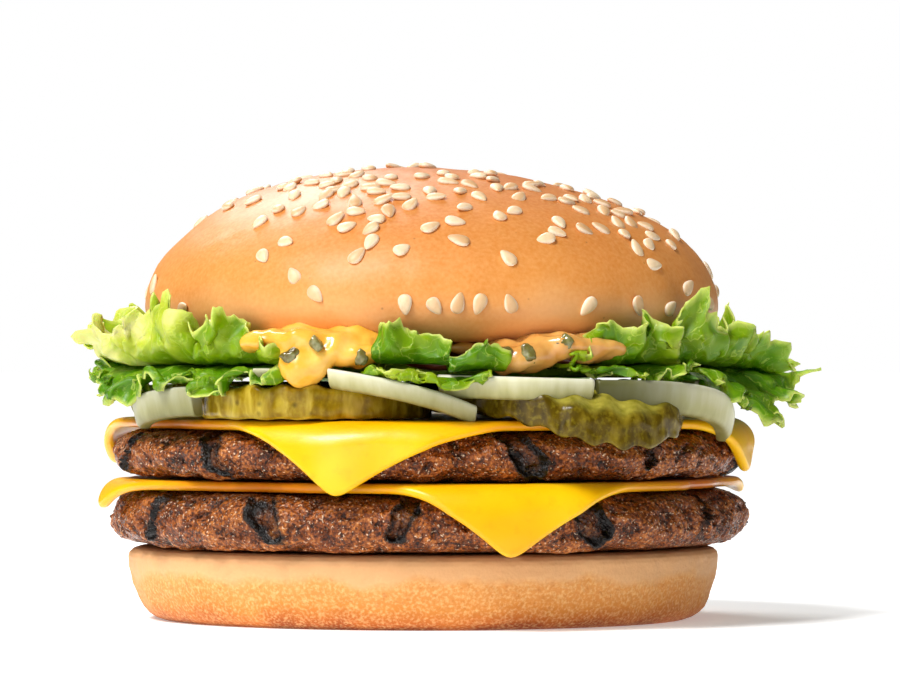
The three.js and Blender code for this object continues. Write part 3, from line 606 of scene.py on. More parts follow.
def onion_material():
    paint = Paint("onion", 0.36, (0.3, 0.002, (1.0, 1.0, 0.75)), Specular_IOR_Level=0.25)
    streaks = paint.noise(2.4, 4.0, 0.0, paint.stretched(0.9, 0.9, 0.12))
    # Painted shade and light: each strip darkens to olive towards its bottom and turns white towards its top;
    # the streaks add tone at random.
    level = paint.math("ADD", paint.attribute("level"), paint.span(streaks, 0.3, 0.7, -0.2, 0.2))
    body = paint.ramp(level, [
        (0.0, 132, 124, 66), (0.35, 180, 174, 122), (0.75, 214, 210, 178), (1.0, 228, 225, 204)])
    rimmed = paint.mix(paint.span(paint.attribute("rim"), 0.3, 0.9, 0.0, 0.25), body, srgb(204, 206, 150))
    # Painted shade: dark olive mixed in by each strip's share.
    colour = paint.mix(paint.attribute("olive"), rimmed, srgb(70, 70, 8))
    return paint.finished(colour, paint.bump(streaks, 0.12, 0.45))


def bacon_material():
    paint = Paint("bacon", 0.3, Coat_Weight=0.3, Coat_Roughness=0.2)
    streaks = paint.noise(7, 4.0, 0.8, paint.stretched(0.35, 1.6, 1.0))
    colour = paint.ramp(streaks, [
        (0.32, 62, 16, 10), (0.5, 112, 36, 24), (0.62, 150, 70, 48), (0.72, 206, 160, 130)])
    return paint.finished(colour, paint.bump(paint.noise(1.4, 5.0), 0.3, 0.8))


def sauce_material():
    paint = Paint("burger_sauce", 0.22, (0.25, 0.003, (1.0, 0.6, 0.2)), Coat_Weight=0.25,
                  Coat_Roughness=0.1)
    yellow = paint.ramp(paint.noise(5, 4.0), [
        (0.3, 240, 166, 40), (0.55, 250, 190, 74), (0.8, 255, 214, 120)])
    tan = paint.ramp(paint.noise(5, 4.0), [(0.3, 206, 136, 58), (0.55, 222, 164, 84), (0.8, 236, 192, 120)])
    colour = paint.mix(paint.span(paint.along("X"), -0.004, 0.014), yellow, tan)
    return paint.finished(colour, paint.bump(paint.noise(1.8, 4.0), 0.14, 0.45))


def relish_material():
    paint = Paint("relish_bit", 0.16, (0.2, 0.002, (1.0, 0.2, 0.1)), Coat_Weight=0.5)
    colour = paint.ramp(paint.noise(1.6, 4.0), [
        (0.3, 92, 70, 22), (0.5, 112, 108, 50), (0.75, 166, 164, 116)])
    return paint.finished(colour, paint.bump(paint.noise(0.8, 3.0), 0.12, 0.5))


def lettuce_material():
    paint = Paint("lettuce", 0.38, (0.3, 0.002, (0.6, 1.0, 0.05)), Specular_IOR_Level=0.3)
    # The pale attribute holds each leaf's own paleness together with painted shade near its root and in its
    # folds.
    tone = paint.math("ADD", paint.attribute("pale"), paint.span(paint.noise(6, 4.0), 0.3, 0.7, -0.18, 0.18))
    body = paint.ramp(tone, [
        (0.0, 44, 92, 0), (0.3, 82, 130, 0), (0.6, 130, 160, 2), (0.85, 184, 196, 56),
        (1.0, 214, 214, 128)])
    wander = paint.span(paint.noise(4.5, 3.0), 0.3, 0.7, -0.35, 0.35)
    lane = paint.math("ADD", paint.math("MULTIPLY", paint.attribute("run"), 1 / LEAF_RIB_GAP), wander)
    from_rib = paint.math("MULTIPLY", paint.math("PINGPONG", lane, 0.5), 2.0)
    ribs = paint.span(from_rib, 0.02, 0.08, 0.4, 0.0)
    climb = paint.math("ADD", paint.math("MULTIPLY", paint.attribute("reach"), 7.5), wander)
    branch = paint.math("PINGPONG", paint.math("SUBTRACT", climb, paint.math("MULTIPLY", from_rib, 1.4)), 0.5)
    twigs = paint.span(branch, 0.02, 0.06, 0.18, 0.0)
    veins = paint.math("MAXIMUM", ribs, twigs)
    veined = paint.mix(veins, body, srgb(206, 222, 100))
    edge = paint.span(paint.attribute("reach"), 0.96, 1.0, 0.0, 0.75)
    colour = paint.mix(edge, veined, srgb(216, 230, 120))
    ribbed = paint.bump(veins, 0.35, 0.5)
    return paint.finished(colour, paint.bump(paint.noise(1.5, 4.0), 0.16, 0.5, ribbed))


# Bun and patties

def box_mm(node):
    low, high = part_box(node)
    return np.array(low) / MM, np.array(high) / MM


def grid_angles(sides):
    return np.arange(sides) * TAU / sides


def polar_points(x, r, angle, z):
    return np.stack([x + r * np.cos(angle), r * np.sin(angle), z + 0 * r], axis=-1)


def push_out(points, push, angle):
    """Moves points sideways by that much, away from the middle at that angle."""
    points[..., 0] += push * np.cos(angle)
    points[..., 1] += push * np.sin(angle)


def outline_rows(stops, rows, rim_from=0.0, flat_rows=8):
    """Points along an outline through the stops: most of them past a radius, few on the flats within."""
    stops = np.array(stops, dtype=float)
    steps = np.hypot(*np.diff(stops, axis=0).T)
    travel = np.concatenate([[0], np.cumsum(steps)])
    rim = np.nonzero(stops[:, 0] >= rim_from)[0]
    start, end = travel[rim[0]], travel[rim[-1]]
    at = np.concatenate([np.linspace(0, start, flat_rows)[:-1], np.linspace(start, end, rows),
                         np.linspace(end, travel[-1], flat_rows)[1:]])
    at = np.unique(at)
    return np.interp(at, travel, stops[:, 0]), np.interp(at, travel, stops[:, 1])


def crown_surface(polar, angle):
    c = CROWN
    upper = polar <= math.pi / 2
    lowered = np.maximum(0, polar - math.pi / 2)
    r = np.where(upper, c["radius"] * np.sin(polar), c["foot"] + (c["radius"] - c["foot"]) * np.cos(lowered))
    rise = np.where(upper, (c["top"] - c["widest"]) * np.cos(polar),
                    -(c["widest"] - c["bottom"]) * np.sin(lowered))
    lean = c["lean"] * smooth(0.45, 1, rise / (c["top"] - c["widest"]))
    x = c["x"] + lean + r * np.cos(angle)
    return np.stack([x, r * np.sin(angle), c["widest"] + rise + 0 * x], axis=-1)


def make_crown(material):
    rows, sides = GRID["crown"]
    polar = np.concatenate([np.linspace(0, math.pi, rows), np.full(CROWN_FLOOR_ROWS, math.pi)])
    shrink = np.concatenate([np.ones(rows), np.linspace(0.97, 0, CROWN_FLOOR_ROWS)])
    rings = crown_surface(polar[:, None], grid_angles(sides)[None, :])
    flat = shrink < 1
    rings[flat, :, 0] = CROWN["x"] + (rings[flat, :, 0] - CROWN["x"]) * shrink[flat, None]
    rings[flat, :, 1] *= shrink[flat, None]
    outward = rings - np.array(CROWN_CENTRE)
    outward /= np.linalg.norm(outward, axis=-1, keepdims=True)
    skin = smooth(0.0, 0.1, polar)[:, None] * np.where(flat, 0.0, 1.0)[:, None]
    relief = 0.35 * lumps(rings, 24, 1, 2) + 0.12 * lumps(rings, 4.5, 2, 3)
    rings = rings + outward * (relief * skin)[..., None]
    place(ring_piece("crown_crust", rings), ["crown"], material)


def make_random(state):
    """A function that gives the next number from 0 to 1 at each call, by a plain generator."""
    factor, step, size = 1664525, 1013904223, 2 ** 32

    def draw():
        nonlocal state
        state = (state * factor + step) % size
        return state / size

    return draw


def seed_places():
    """The point, its two angles, the spin and the tip of each seed: spread ones, then denser patches."""
    placed = []

    def try_place(polar, angle, spin, tip, apart):
        point = crown_surface(np.array(polar), np.array(angle))
        if all(np.linalg.norm(point - other[0]) > apart for other in placed):
            placed.append((point, polar, angle, spin, tip))

    draw = make_random(EVEN_SEEDS["start"])
    while len(placed) < EVEN_SEEDS["count"]:
        polar = math.radians(EVEN_SEEDS["spread"]) * draw() ** 0.72
        try_place(polar, TAU * draw(), TAU * draw(), 0.5 * (draw() - 0.5), EVEN_SEEDS["apart"])
    for patch in SEED_PATCHES:
        draw = make_random(patch["start"])
        wanted = len(placed) + patch["count"]
        while len(placed) < wanted:
            far = [middle + spread * (draw() + draw() + draw() - 1.5)
                   for middle, spread in zip(patch["middle"], patch["spread"])]
            polar = math.radians(math.hypot(*far))
            spin = TAU * draw()
            try_place(polar, math.atan2(far[1], far[0]), spin, 0.5 * (draw() - 0.5), patch["apart"])
    return placed


def seed_axes(polar, angle, spin, tip):
    """The directions of a seed's length, width and thickness."""
    step = 0.01
    here, lower = (crown_surface(np.array(at), np.array(angle)) for at in (polar, polar + step))
    down = unit(lower - here)
    around = np.array([-math.sin(angle), math.cos(angle), 0])
    out = unit(np.cross(down, around))
    along = unit(down * math.cos(spin) + around * math.sin(spin) + out * tip)
    across = unit(np.cross(out, along))
    return along, across, np.cross(along, across)


def make_seeds(material):
    rows, sides = GRID["seed"]
    tilt = np.linspace(0, math.pi, rows)[:, None]
    turn = grid_angles(sides)[None, :]
    parts = []
    own = []
    rim = []
    for count, (point, polar, angle, spin, tip) in enumerate(seed_places()):
        along, across, normal = seed_axes(polar, angle, spin, tip)
        vary = 0.9 + 0.2 * ((count * 7) % 11) / 10
        x = np.cos(tilt) * SEED["length"] / 2 * vary
        wide = np.sin(tilt) * (1 - 0.38 * np.cos(tilt)) * SEED["width"] / 2
        thick = np.sin(tilt) ** 0.8 * (1 - 0.2 * np.cos(tilt)) * SEED["thick"] / 2
        local = [x + 0 * turn, wide * np.cos(turn), thick * np.sin(turn)]
        laid = sum(share[..., None] * axis for share, axis in zip(local, (along, across, normal)))
        points, faces = ring_mesh(point + SEED["proud"] * normal + laid)
        parts.append((points, faces))
        own.append(np.full(len(points), ((count * 29) % 17) / 16))
        edge = np.abs(np.cos(turn)) + 0 * tilt
        rim.append(np.concatenate([[1], edge[1:-1].ravel(), [1]]))
    seeds = join_points("sesame_seeds", parts, {"own": np.concatenate(own), "rim": np.concatenate(rim)})
    place(face_outward(seeds), ["crown"], material)


def make_heel(material):
    low, high = box_mm("heel")
    x = (low[0] + high[0]) / 2
    radius = (high[0] - low[0]) / 2
    rows, sides = GRID["heel"]
    across, up = outline_rows([(radius * a, HEEL_TALL * b) for a, b in HEEL_OUTLINE], rows, radius * 0.88)
    angle = grid_angles(sides)
    rings = polar_points(x, across[:, None] + 0 * angle, angle[None, :], up[:, None])
    wall = smooth(0.86, 0.93, across / radius) * smooth(0.2, 2.2, up)
    relief = 0.45 * lumps(rings, 15, 3, 2) + 0.16 * lumps(rings, 3.4, 4, 4) + 0.1 * lumps(rings, 1.2, 5, 2)
    push_out(rings, relief * wall[:, None], angle)
    place(ring_piece("heel_crust", rings), ["heel"], material)


def crag_at(angle, level, phase):
    broad = 0.5 * np.sin(5 * angle + phase) + 0.4 * np.sin(9 * angle - 2 * phase + 3 * level)
    fine = 0.45 * np.sin(16 * angle + 5 * level + phase) + 0.35 * np.sin(23 * angle - 7 * level)
    return broad + fine


def char_marks(angle, up, low, high, marks, radius, wander):
    """How deep in a grill mark each point of a patty's rim is: bars from the top edge, with a round end."""
    tall = high - low
    strongest = np.zeros(np.broadcast(angle, up).shape)
    for count, mark in enumerate(marks):
        away = (angle - math.radians(mark) + math.pi) % TAU - math.pi
        end = low + tall * (0.42 + 0.12 * math.sin(3.1 * count))
        slant = 0.6 if count % 2 else -0.45
        wide = 2.8 + 0.8 * math.sin(2.7 * count)
        aside = away * radius + slant * (up - end - tall / 3) + 1.2 * wander
        below = np.maximum(0, end - up + 0.8 * wander)
        strongest = np.maximum(strongest, 1 - smooth(wide * 0.45, wide * 1.15, np.hypot(aside, below)))
    return strongest


def make_patty(node, facts, material):
    radius, low, high, phase = (facts[key] for key in ("radius", "low", "high", "phase"))
    tall = high - low
    rows, sides = GRID["patty"]
    across, up = outline_rows([(radius * a, low + tall * b) for a, b in PATTY_OUTLINE], rows, radius * 0.85)
    angle = grid_angles(sides)
    rings = polar_points(facts["x"], across[:, None] + 0 * angle, angle[None, :], up[:, None])
    rough = smooth(0.84, 0.955, across / radius)[:, None]
    level = ((up - low) / tall)[:, None]
    folds = lumps(rings, 9.0, phase, 2)
    knobs = lumps(rings, 3.6, phase + 1, 2)
    mince = 0.5 * (0.4 - cells(rings, 2.3, phase)) + 0.32 * (0.4 - cells(rings, 1.25, phase + 3))
    crumbs = 0.16 * lumps(rings, 0.9, phase + 4, 2)
    cracks = 0.7 * smooth(0.12, 0.5, -lumps(rings, 2.6, phase + 6, 2))
    mark = char_marks(angle[None, :], up[:, None], low, high, facts["chars"], radius, knobs)
    lip = smooth(0.0, 0.25, mark) * (1 - smooth(0.3, 0.6, mark))
    dent = 1.3 * smooth(0.3, 0.9, mark) - 0.7 * lip
    relief = mince + crumbs + 0.5 * knobs - cracks
    push = CRAG * crag_at(angle[None, :], level, phase) + 0.8 * folds + relief - dent
    push = np.clip(push, -2.6, 1.3) * rough
    steep = np.sin(math.pi * np.clip(level, 0, 1)) ** 0.5
    push_out(rings, push * steep, angle)
    lift = push * (1 - steep) * np.sign(level - 0.5)
    rings[..., 2] += np.clip(lift, -1.2, 0.12) + 0.35 * rough * np.sin(13 * angle + 4 * level + phase) * steep
    # Painted shade and light for the colour: low in the crevices and high on the ridges of the relief.
    shade = np.clip(0.58 + 0.6 * (relief + 0.25 * folds), 0, 1)
    # A band along the patty's top edge is darkened with the char colour.
    burnt_edge = 0.6 * smooth(0.86, 0.99, level + 0.12 * folds)
    char = smooth(0.04, 0.26, mark + 0.15 * folds) - 0.4 * smooth(0.8, 1.05, mark + 0.3 * knobs)
    char = np.clip(np.maximum(char, burnt_edge), 0, 1) * rough
    patty = ring_piece(node + "_meat", rings, {"relief": shade, "char": char})
    place(patty, [node], material)


# Cheese

def cheese_hang(slab, from_first):
    """How far the melted edge hangs past its resting place, by degrees from the first corner."""
    nearest = np.round(from_first / 90)
    away = np.radians(from_first - nearest * 90) * slab["edge"]
    corner = np.array(slab["corners"])[(nearest.astype(int) % 4)]
    width = np.where(away < 0, corner[..., 1], corner[..., 2])
    rounded = np.hypot(away, CHEESE_TIP_ROUND) - CHEESE_TIP_ROUND
    return corner[..., 0] * np.exp(-rounded / width)


def draped(slab, travel, angle, thick):
    over = np.maximum(0, travel - slab["edge"])
    turn = np.minimum(over / CHEESE_BEND, math.pi / 2)
    fall = np.maximum(0, over - CHEESE_BEND * math.pi / 2)
    bend = CHEESE_BEND + thick
    r = np.minimum(travel, slab["edge"]) + bend * np.sin(turn)
    z = slab["base"] + thick - bend * (1 - np.cos(turn)) - fall
    return np.stack([slab["x"] + r * np.cos(angle), r * np.sin(angle), z], axis=-1)


def make_cheese(node, slab, material):
    rows, sides = GRID["cheese"]
    phase = slab["phase"]
    degrees = slab["turn"] + np.arange(sides) * 360 / sides
    angle = np.radians(degrees)[None, :]
    end = slab["rest"] + cheese_hang(slab, degrees - slab["turn"])
    hang = end - slab["rest"]
    wavy = 0.6 * np.sin(9 * angle[0] + phase) + 0.45 * np.sin(19 * angle[0] + 2 * phase)
    end = (end + wavy * (1 - np.minimum(1, hang / 9)))[None, :]
    start = slab["edge"] * 0.9
    inner = np.array([0.0, 0.5, 0.85])[:, None] * start + 0 * end
    reach = 1 - (1 - np.linspace(0, 1, rows)) ** 1.4
    outer = mix(start, end - CHEESE_THICK / 2, reach[:, None])
    flat_travel = np.vstack([inner, outer])
    half = CHEESE_THICK / 2
    bend = np.linspace(math.pi / 2, -math.pi / 2, 11)[1:-1]
    edge_travel = end - half + half * np.cos(bend)[:, None]
    edge_thick = half + half * np.sin(bend)[:, None]
    travel = np.vstack([flat_travel, edge_travel, flat_travel[::-1]])
    thick = np.vstack([np.full_like(flat_travel, CHEESE_THICK), edge_thick + 0 * edge_travel,
                       np.zeros_like(flat_travel)])
    over = np.maximum(0, travel - slab["edge"])
    swell = 0.35 * smooth(3, 10, over) * (thick / CHEESE_THICK)
    folds = 0.3 * smooth(2, 6, over) * np.sin(17 * angle + phase)
    rings = draped(slab, travel, angle, thick + swell + folds * (thick / CHEESE_THICK))
    slice_piece = ring_piece(node + "_slice", rings, {"hang": hang[None, :] + 0 * travel})
    place(slice_piece, [node], material)


# Pickles and onion

def make_pickle(node, facts, material):
    rows, sides = GRID["pickle"]
    radius = PICKLE_RADIUS
    wall = PICKLE_WALL
    bend = np.linspace(math.pi / 2, 0, 6)[1:]
    reach = np.concatenate([np.linspace(0, 1, rows) * (radius - wall), radius - wall + wall * np.cos(bend)])
    level = np.concatenate([np.ones(rows), 1 - (1 - np.sin(bend)) * wall / facts["thick"]])
    reach = np.concatenate([reach, np.full(5, radius), reach[::-1]])
    level = np.concatenate([level, np.linspace(level[-1], 1 - level[-1], 7)[1:-1], 1 - level[::-1]])
    angle = grid_angles(sides)[None, :]
    bumpy = 1 + 0.006 * np.sin(11 * angle) + 0.004 * np.sin(27 * angle + 1)
    across = reach[:, None] * bumpy * np.cos(angle)
    along = reach[:, None] * bumpy * np.sin(angle)
    heading = math.radians(facts["turn"])
    px, py = turned(across, along, heading)
    px = facts["x"] + px
    py = facts["y"] + py
    ripple = facts["ripple"] * (1 + np.cos(TAU * across / PICKLE_WAVE))
    past = np.maximum(0, np.hypot(px, py) - facts["droop"])
    level = level[:, None]
    sink = facts.get("sink", 0) * (1 - level)
    z = PICKLE_BASE - sink + ripple * (1 - 2 * sink) + level * facts["thick"]
    z = z - past ** 2 / PICKLE_DROOP_LENGTH
    rings = np.stack([px, py, z], axis=-1)
    rim = smooth(0.9, 0.99, reach / radius)[:, None]
    push = rim * (0.22 * lumps(rings, 2.6, facts["x"], 3) + 0.3 * smooth(0.25, 0.7, lumps(rings, 2.1, 4, 1)))
    push_out(rings, push, angle + heading)
    rings[..., 2] += (1 - rim) * 0.12 * lumps(rings, 2.0, 9, 3) * (level > 0.5)
    # Each pickle's share of painted top light, the same all over it.
    ripe = np.full(rings.shape[:2], facts["ripe"])
    slab = ring_piece(node + "_slice", rings, {"skin": rim + 0 * ripe, "ripe": ripe})
    place(slab, [node], material)


def make_onion(node, facts, material):
    """An arc of one onion layer: a rounded strip swept round part of a ring."""
    start, end = np.radians(facts["arc"])
    steps = max(24, int((end - start) * facts["ring"] / ONION_STEP))
    u = np.linspace(0, 1, steps)[:, None]
    turn = grid_angles(ONION_SECTION)[None, :]
    tall = (facts["high"] - facts["low"]) / 2
    power = 0.55
    across = np.sign(np.cos(turn)) * np.abs(np.cos(turn)) ** power * ONION_THICK / 2
    up = np.sign(np.sin(turn)) * np.abs(np.sin(turn)) ** power * tall
    angle = mix(start, end, u)
    wobble = 0.25 * np.sin(9 * angle + facts["x"])
    r = facts["ring"] + across + 0.6 * up / tall + wobble
    along = r * np.cos(angle)
    sag = facts.get("drop", 0) * u ** 3 + facts.get("lead", 0) * (1 - u) ** 2
    z = (facts["low"] + facts["high"]) / 2 + up + facts.get("slope", 0) * along - sag
    grid = np.stack([facts["x"] + along, facts["y"] + r * np.sin(angle), z], axis=-1)
    middle = grid.mean(axis=1, keepdims=True)
    caps = [mix(middle[:1], grid[:1], 0.001), mix(middle[:1], grid[:1], 0.9), grid,
            mix(middle[-1:], grid[-1:], 0.9), mix(middle[-1:], grid[-1:], 0.001)]
    rings = np.vstack(caps)
    rim = np.vstack([0 * across] * 2 + [np.repeat(smooth(0.5, 1, across / (ONION_THICK / 2)), steps, axis=0)]
                    + [0 * across] * 2)
    level = np.repeat(0.5 + 0.5 * up / tall, len(rings), axis=0)
    along_arc = np.vstack([u[:1], u[:1], u, u[-1:], u[-1:]])
    # Painted shade: a share of dark olive that runs along the arc from its start to its end.
    olive = mix(*facts.get("olive", (0.3, 0.2)), smooth(0.0, 0.75, along_arc)) + 0 * level
    strip = ring_piece(node + "_ring", rings, {"rim": rim, "level": level, "olive": olive})
    place(face_outward(strip), [node], material)


# Bacon and sauce

def make_bacon(material):
    b = BACON
    rows, columns = GRID["bacon"]
    u = np.linspace(0, 1, columns)[None, :]
    v = np.linspace(0, 1, rows)[:, None]
    along = mix(-b["length"] / 2, b["length"] / 2, u) + 0 * v
    edge = 1.4 * np.sin(TAU * along / 31)
    lift = b["rise"] * np.cos(TAU * (b["x"] + along - b["crest"]) / b["wave"])
    middle = np.stack([b["x"] + along, b["front"] + edge + b["width"] * v, b["z"] + lift], axis=-1)
    middle[..., 2] += 0.15 * lumps(middle, 4, 3, 2)
    border = np.minimum(1, np.minimum(np.minimum(v, 1 - v) * b["width"], np.minimum(u, 1 - u) * b["length"]))
    half = b["thick"] / 2 * np.sqrt(np.clip(border, 0.08, 1))
    up = np.zeros_like(middle)
    up[..., 2] = half
    rasher = sheet_piece("bacon_rasher", middle + up, middle - up)
    place(face_outward(rasher), ["bacon"], material)


def ball(x, y, z, across, deep, tall, grid=GRID["sauce_lobe"]):
    """Points and faces of a ball round a middle, with half its width, depth and height."""
    rows, sides = grid
    tilt = np.linspace(0, math.pi, rows)[:, None]
    turn = grid_angles(sides)[None, :]
    grid = [x + across * np.sin(tilt) * np.cos(turn), y + deep * np.sin(tilt) * np.sin(turn),
            z + tall * np.cos(tilt) + 0 * turn]
    return ring_mesh(np.stack(grid, axis=-1))


def make_sauce(material):
    bed = SAUCE_BED
    rows, sides = GRID["sauce_bed"]
    inner = bed["radius"] * bed["inner"]
    rim = (bed["radius"], (bed["top"] + bed["rim_bottom"]) / 2)
    stops = [(0, bed["top"]), (inner, bed["top"]), rim, (inner, bed["rim_bottom"]), bed["slope"],
             (0, bed["bottom"])]
    across, up = outline_rows(stops, rows)
    angle = grid_angles(sides)
    rings = polar_points(bed["x"], across[:, None] + 0 * angle, angle[None, :], up[:, None])
    sauce = join_points("sauce_spread", [ring_mesh(rings)] + [ball(*lobe) for lobe in SAUCE_LOBES])
    apply_modifier(sauce, "REMESH", mode="VOXEL", voxel_size=SAUCE_SKIN["voxel"] * MM)
    apply_modifier(sauce, "SMOOTH", factor=SAUCE_SKIN["smoothing"], iterations=SAUCE_SKIN["rounds"])
    swell_out(sauce, SAUCE_SKIN["swell"], SAUCE_SKIN["swell_size"])
    sauce.data.shade_smooth()
    place(sauce, ["sauce"], material)


def make_relish(material):
    parts = []
    for count, (x, y, z, size) in enumerate(SAUCE_BITS):
        middle = np.array([x, y + 0.3 * size, z])
        points, faces = ball(*middle, size * 1.25, size * 0.8, size * 0.8, GRID["relish_bit"])
        away = points - middle
        chunky = np.sign(away) * np.abs(away / size) ** 0.75 * size
        across, up = turned(chunky[:, 0], chunky[:, 2], 0.5 + 1.9 * count)
        spun = np.stack([across, chunky[:, 1], up], axis=-1)
        dented = spun * (1 + 0.3 * lumps(points, 1.3, count, 2))[:, None]
        parts.append((dented + middle, faces))
    place(face_outward(join_points("relish_bits", parts)), ["sauce"], material)


# Lettuce

def edge_curve(edge, u):
    """A smooth curve through the edge's points: angle in degrees, radius and height in mm."""
    stops = np.array(edge, dtype=float)
    padded = np.vstack([2 * stops[0] - stops[1], stops, 2 * stops[-1] - stops[-2]])
    at = u * (len(stops) - 1)
    first = np.minimum(at.astype(int), len(stops) - 2)
    t = (at - first)[..., None]
    p0, p1, p2, p3 = (padded[first + i] for i in range(4))
    return 0.5 * (2 * p1 + (p2 - p0) * t + (2 * p0 - 5 * p1 + 4 * p2 - p3) * t ** 2
                  + (3 * p1 - p0 - 3 * p2 + p3) * t ** 3)


def leaf_middle(leaf, u, v, phase):
    """Under the crown a leaf lies flat; past its edge it turns up or down to the leaf's own frilled edge."""
    stop = edge_curve(leaf["edge"], u)
    angle = np.radians(stop[..., 0])
    ledge_dip, turn_dip = leaf["dips"]
    root, ledge, turn, tip = (1 - v) ** 3, 3 * v * (1 - v) ** 2, 3 * v ** 2 * (1 - v), v ** 3
    r = root * leaf["root"] + ledge * LEAF_LEDGE
    r = r + turn * np.minimum(LEAF_TURN, stop[..., 1] + 1.5) + tip * stop[..., 1]
    z = (root + ledge + turn) * leaf["seat"] - ledge * ledge_dip - turn * turn_dip + tip * stop[..., 2]
    travel = TAU * angle * LEAF_RIM
    wave = np.sin(travel / LEAF_RUFFLE) + 0.3 * np.sin(travel / 7.3 + 1)
    line = np.stack([angle * LEAF_RIM, 15 * v, 0 * v], axis=-1)
    frill, curl, sway, lobe = (1.8 * lumps(line, size, phase + 20 + i, 2)
                               for i, size in enumerate((3.4, 3.0, 3.8, 7.0)))
    r = r + leaf["ruffle"] * (v ** 2 * (wave + lobe) + 1.5 * v ** 3 * frill)
    z = z + leaf["ruffle"] * (0.4 * v ** 2 * np.sin(travel / LEAF_RUFFLE + 1.6) + 1.2 * v ** 3 * curl)
    shifted = angle + leaf["ruffle"] * 1.3 * v ** 3 * sway / LEAF_RIM
    return np.stack([r * np.cos(shifted), r * np.sin(shifted), z], axis=-1), travel / TAU


def clear_of_crown(points, room):
    """Pushes points that are beside the crown out to that distance from it."""
    above = np.clip((points[..., 2] - CROWN["bottom"]) / (CROWN["widest"] - CROWN["bottom"]), 0, 1)
    side = CROWN["foot"] + (CROWN["radius"] - CROWN["foot"]) * np.sqrt(1 - (1 - above) ** 2)
    away = points[..., :2] - [CROWN["x"], 0]
    distance = np.linalg.norm(away, axis=-1)
    beside = points[..., 2] > CROWN["bottom"] - 0.4
    wanted = np.where(beside, np.maximum(distance, side + room), distance)
    moved = points.copy()
    moved[..., :2] = [CROWN["x"], 0] + away * (wanted / distance)[..., None]
    return moved


def make_leaf(node, leaf, count, material):
    span = math.radians(leaf["edge"][-1][0] - leaf["edge"][0][0]) * LEAF_SHOULDER
    u, v = np.meshgrid(np.linspace(0, 1, int(span / LEAF_STEP)), np.linspace(0, 1, LEAF_ROWS))
    frayed = lumps(np.stack([u * span, 0 * u, 0 * u], axis=-1), 1.8, count, 3)
    middle, run = leaf_middle(leaf, u, v * (0.97 + 0.07 * frayed), count)
    blisters = lumps(middle, 2.6, count, 2)
    crumple = lumps(middle, 7, count + 2, 2)
    along = np.gradient(middle, axis=1)
    outward = np.gradient(middle, axis=0)
    normal = np.cross(along, outward)
    normal /= np.maximum(np.linalg.norm(normal, axis=-1, keepdims=True), 1e-9)
    middle = middle + normal * (v * (0.35 * blisters + 1.3 * crumple * v))[..., None]
    middle = clear_of_crown(middle, 0.8)
    half = LEAF_THICK / 2 * (0.35 + 0.65 * (1 - v ** 4))
    front = middle + normal * half[..., None]
    back = middle - normal * half[..., None]
    own = mix(leaf["pale"], leaf.get("pale_end", leaf["pale"]), smooth(0.1, 0.7, u))
    # Painted shade: the leaf is darker near its root and in the hollows of its crumples, and paler towards
    # its edge and on their bulges, over its own paleness.
    pale = np.clip(own + 0.35 * (v - 0.7) + 0.15 * crumple, 0, 1)
    piece = sheet_piece(node + "_leaf", front, back, {"pale": pale, "reach": v, "run": run})
    place(face_outward(piece), [node], material)


def make_lettuce_bed(material):
    bed = LETTUCE_BED
    stops = [(0, bed["high"]), (bed["radius"], bed["high"]), (bed["radius"], bed["low"]), (0, bed["low"])]
    rows, sides = GRID["lettuce_bed"]
    across, up = outline_rows(stops, rows)
    angle = grid_angles(sides)[None, :]
    r = across[:, None] * (1 + 0.05 * np.sin(5 * angle) * (across[:, None] / bed["radius"]))
    rings = polar_points(0, r, angle, up[:, None])
    rings[..., 2] += 0.15 * np.sin(7 * angle + 1) * (across[:, None] / bed["radius"])
    pale = np.full(rings.shape[:2], 0.45)
    leaf = ring_piece("lettuce_bed_leaf", rings, {"pale": pale, "reach": 0 * pale, "run": r + 0 * pale})
    place(leaf, ["lettuce_bed"], material)


# Stage

def make_floor():
    reach = FLOOR_REACH
    corners = [(-reach, -reach, 0), (reach, -reach, 0), (reach, reach, 0), (-reach, reach, 0)]
    floor = new_object("studio_floor", corners, [(0, 1, 2, 3)])
    paint = Paint("studio_floor", 0.9)
    paint.set("Base Color", FLOOR_COLOUR)
    paint.set("Emission Color", (1, 1, 1, 1))
    paint.set("Emission Strength", FLOOR_GLOW)
    paint.set("Normal", paint.bump(paint.noise(30, 2.0), 0.02, 0.1))
    floor.data.materials.append(paint.material)


def aim(thing, target):
    away = Vector(target) - thing.location
    thing.rotation_euler = away.to_track_quat("-Z", "Y").to_euler()


def make_light(name, facts):
    lamp = bpy.data.lights.new(name, "AREA")
    lamp.shape = "SQUARE"
    lamp.size = facts["size"] * MM
    lamp.energy = facts["watts"]
    holder = bpy.data.objects.new(name, lamp)
    holder.location = Vector(facts["at"]) * MM
    bpy.context.scene.collection.objects.link(holder)
    aim(holder, LIGHT_TARGET)


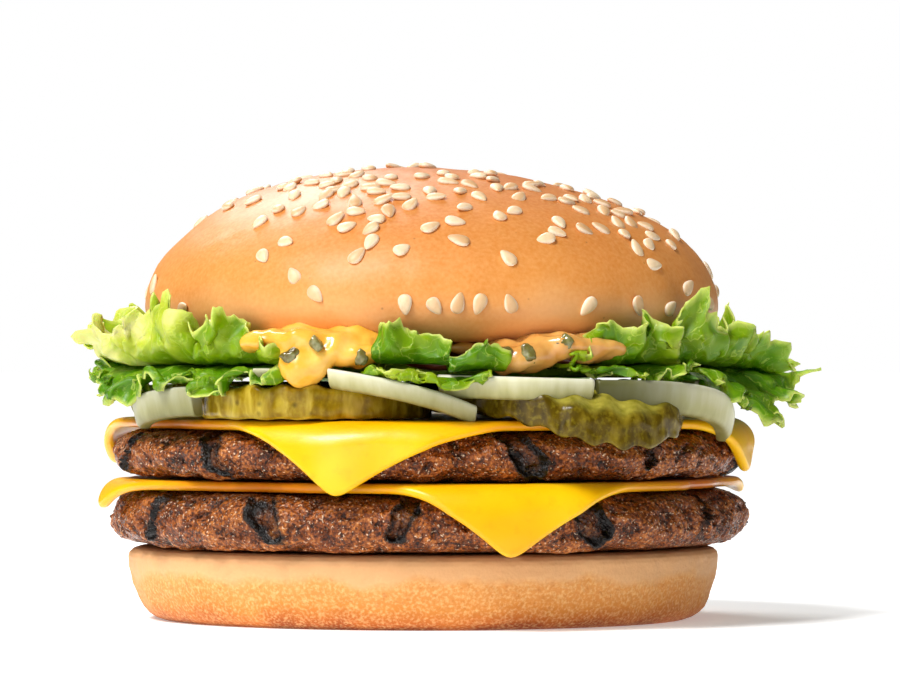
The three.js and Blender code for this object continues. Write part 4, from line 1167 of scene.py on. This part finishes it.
def make_sun():
    lamp = bpy.data.lights.new("sun", "SUN")
    lamp.energy = SUN["strength"]
    lamp.angle = math.radians(SUN["angle"])
    holder = bpy.data.objects.new("sun", lamp)
    holder.location = Vector(SUN["from"])
    bpy.context.scene.collection.objects.link(holder)
    aim(holder, (0, 0, 0))


def make_world():
    """A white sky to look at, and a dimmer one as light."""
    world = bpy.data.worlds.new("studio")
    world.use_nodes = True
    nodes = world.node_tree.nodes
    paths = nodes.new("ShaderNodeLightPath")
    strength = nodes.new("ShaderNodeMapRange")
    strength.inputs["To Min"].default_value = AMBIENT
    strength.inputs["To Max"].default_value = SHOWN_SKY
    world.node_tree.links.new(paths.outputs["Is Camera Ray"], strength.inputs["Value"])
    world.node_tree.links.new(strength.outputs["Result"], nodes["Background"].inputs["Strength"])
    nodes["Background"].inputs["Color"].default_value = (1, 1, 1, 1)
    bpy.context.scene.world = world


def make_camera():
    lens = bpy.data.cameras.new("camera")
    lens.sensor_width = SENSOR_WIDTH
    lens.lens = SENSOR_WIDTH * abs(CAMERA_AT[1]) / VIEW_WIDTH
    lens.clip_start = 0.05
    camera = bpy.data.objects.new("camera", lens)
    camera.location = Vector(CAMERA_AT) * MM
    camera.rotation_euler = (math.pi / 2, 0, 0)
    bpy.context.scene.collection.objects.link(camera)
    bpy.context.scene.camera = camera


# The burger

def build():
    make_camera()
    make_world()
    make_sun()
    for name, facts in GLOSS_LIGHTS.items():
        make_light(name, facts)
    make_floor()
    bpy.context.scene.view_settings.view_transform = "Standard"

    make_heel(heel_material())
    for table, make, material in (
            (PATTIES, make_patty, patty_material()), (CHEESES, make_cheese, cheese_material()),
            (PICKLES, make_pickle, pickle_material()), (ONIONS, make_onion, onion_material())):
        for node, facts in table.items():
            make(node, facts, material)
    make_bacon(bacon_material())
    make_sauce(sauce_material())
    make_relish(relish_material())
    make_crown(crown_material())
    make_seeds(seed_material())
    lettuce = lettuce_material()
    make_lettuce_bed(lettuce)
    for count, (node, leaf) in enumerate(LEAVES.items()):
        make_leaf(node, leaf, count, lettuce)


build()
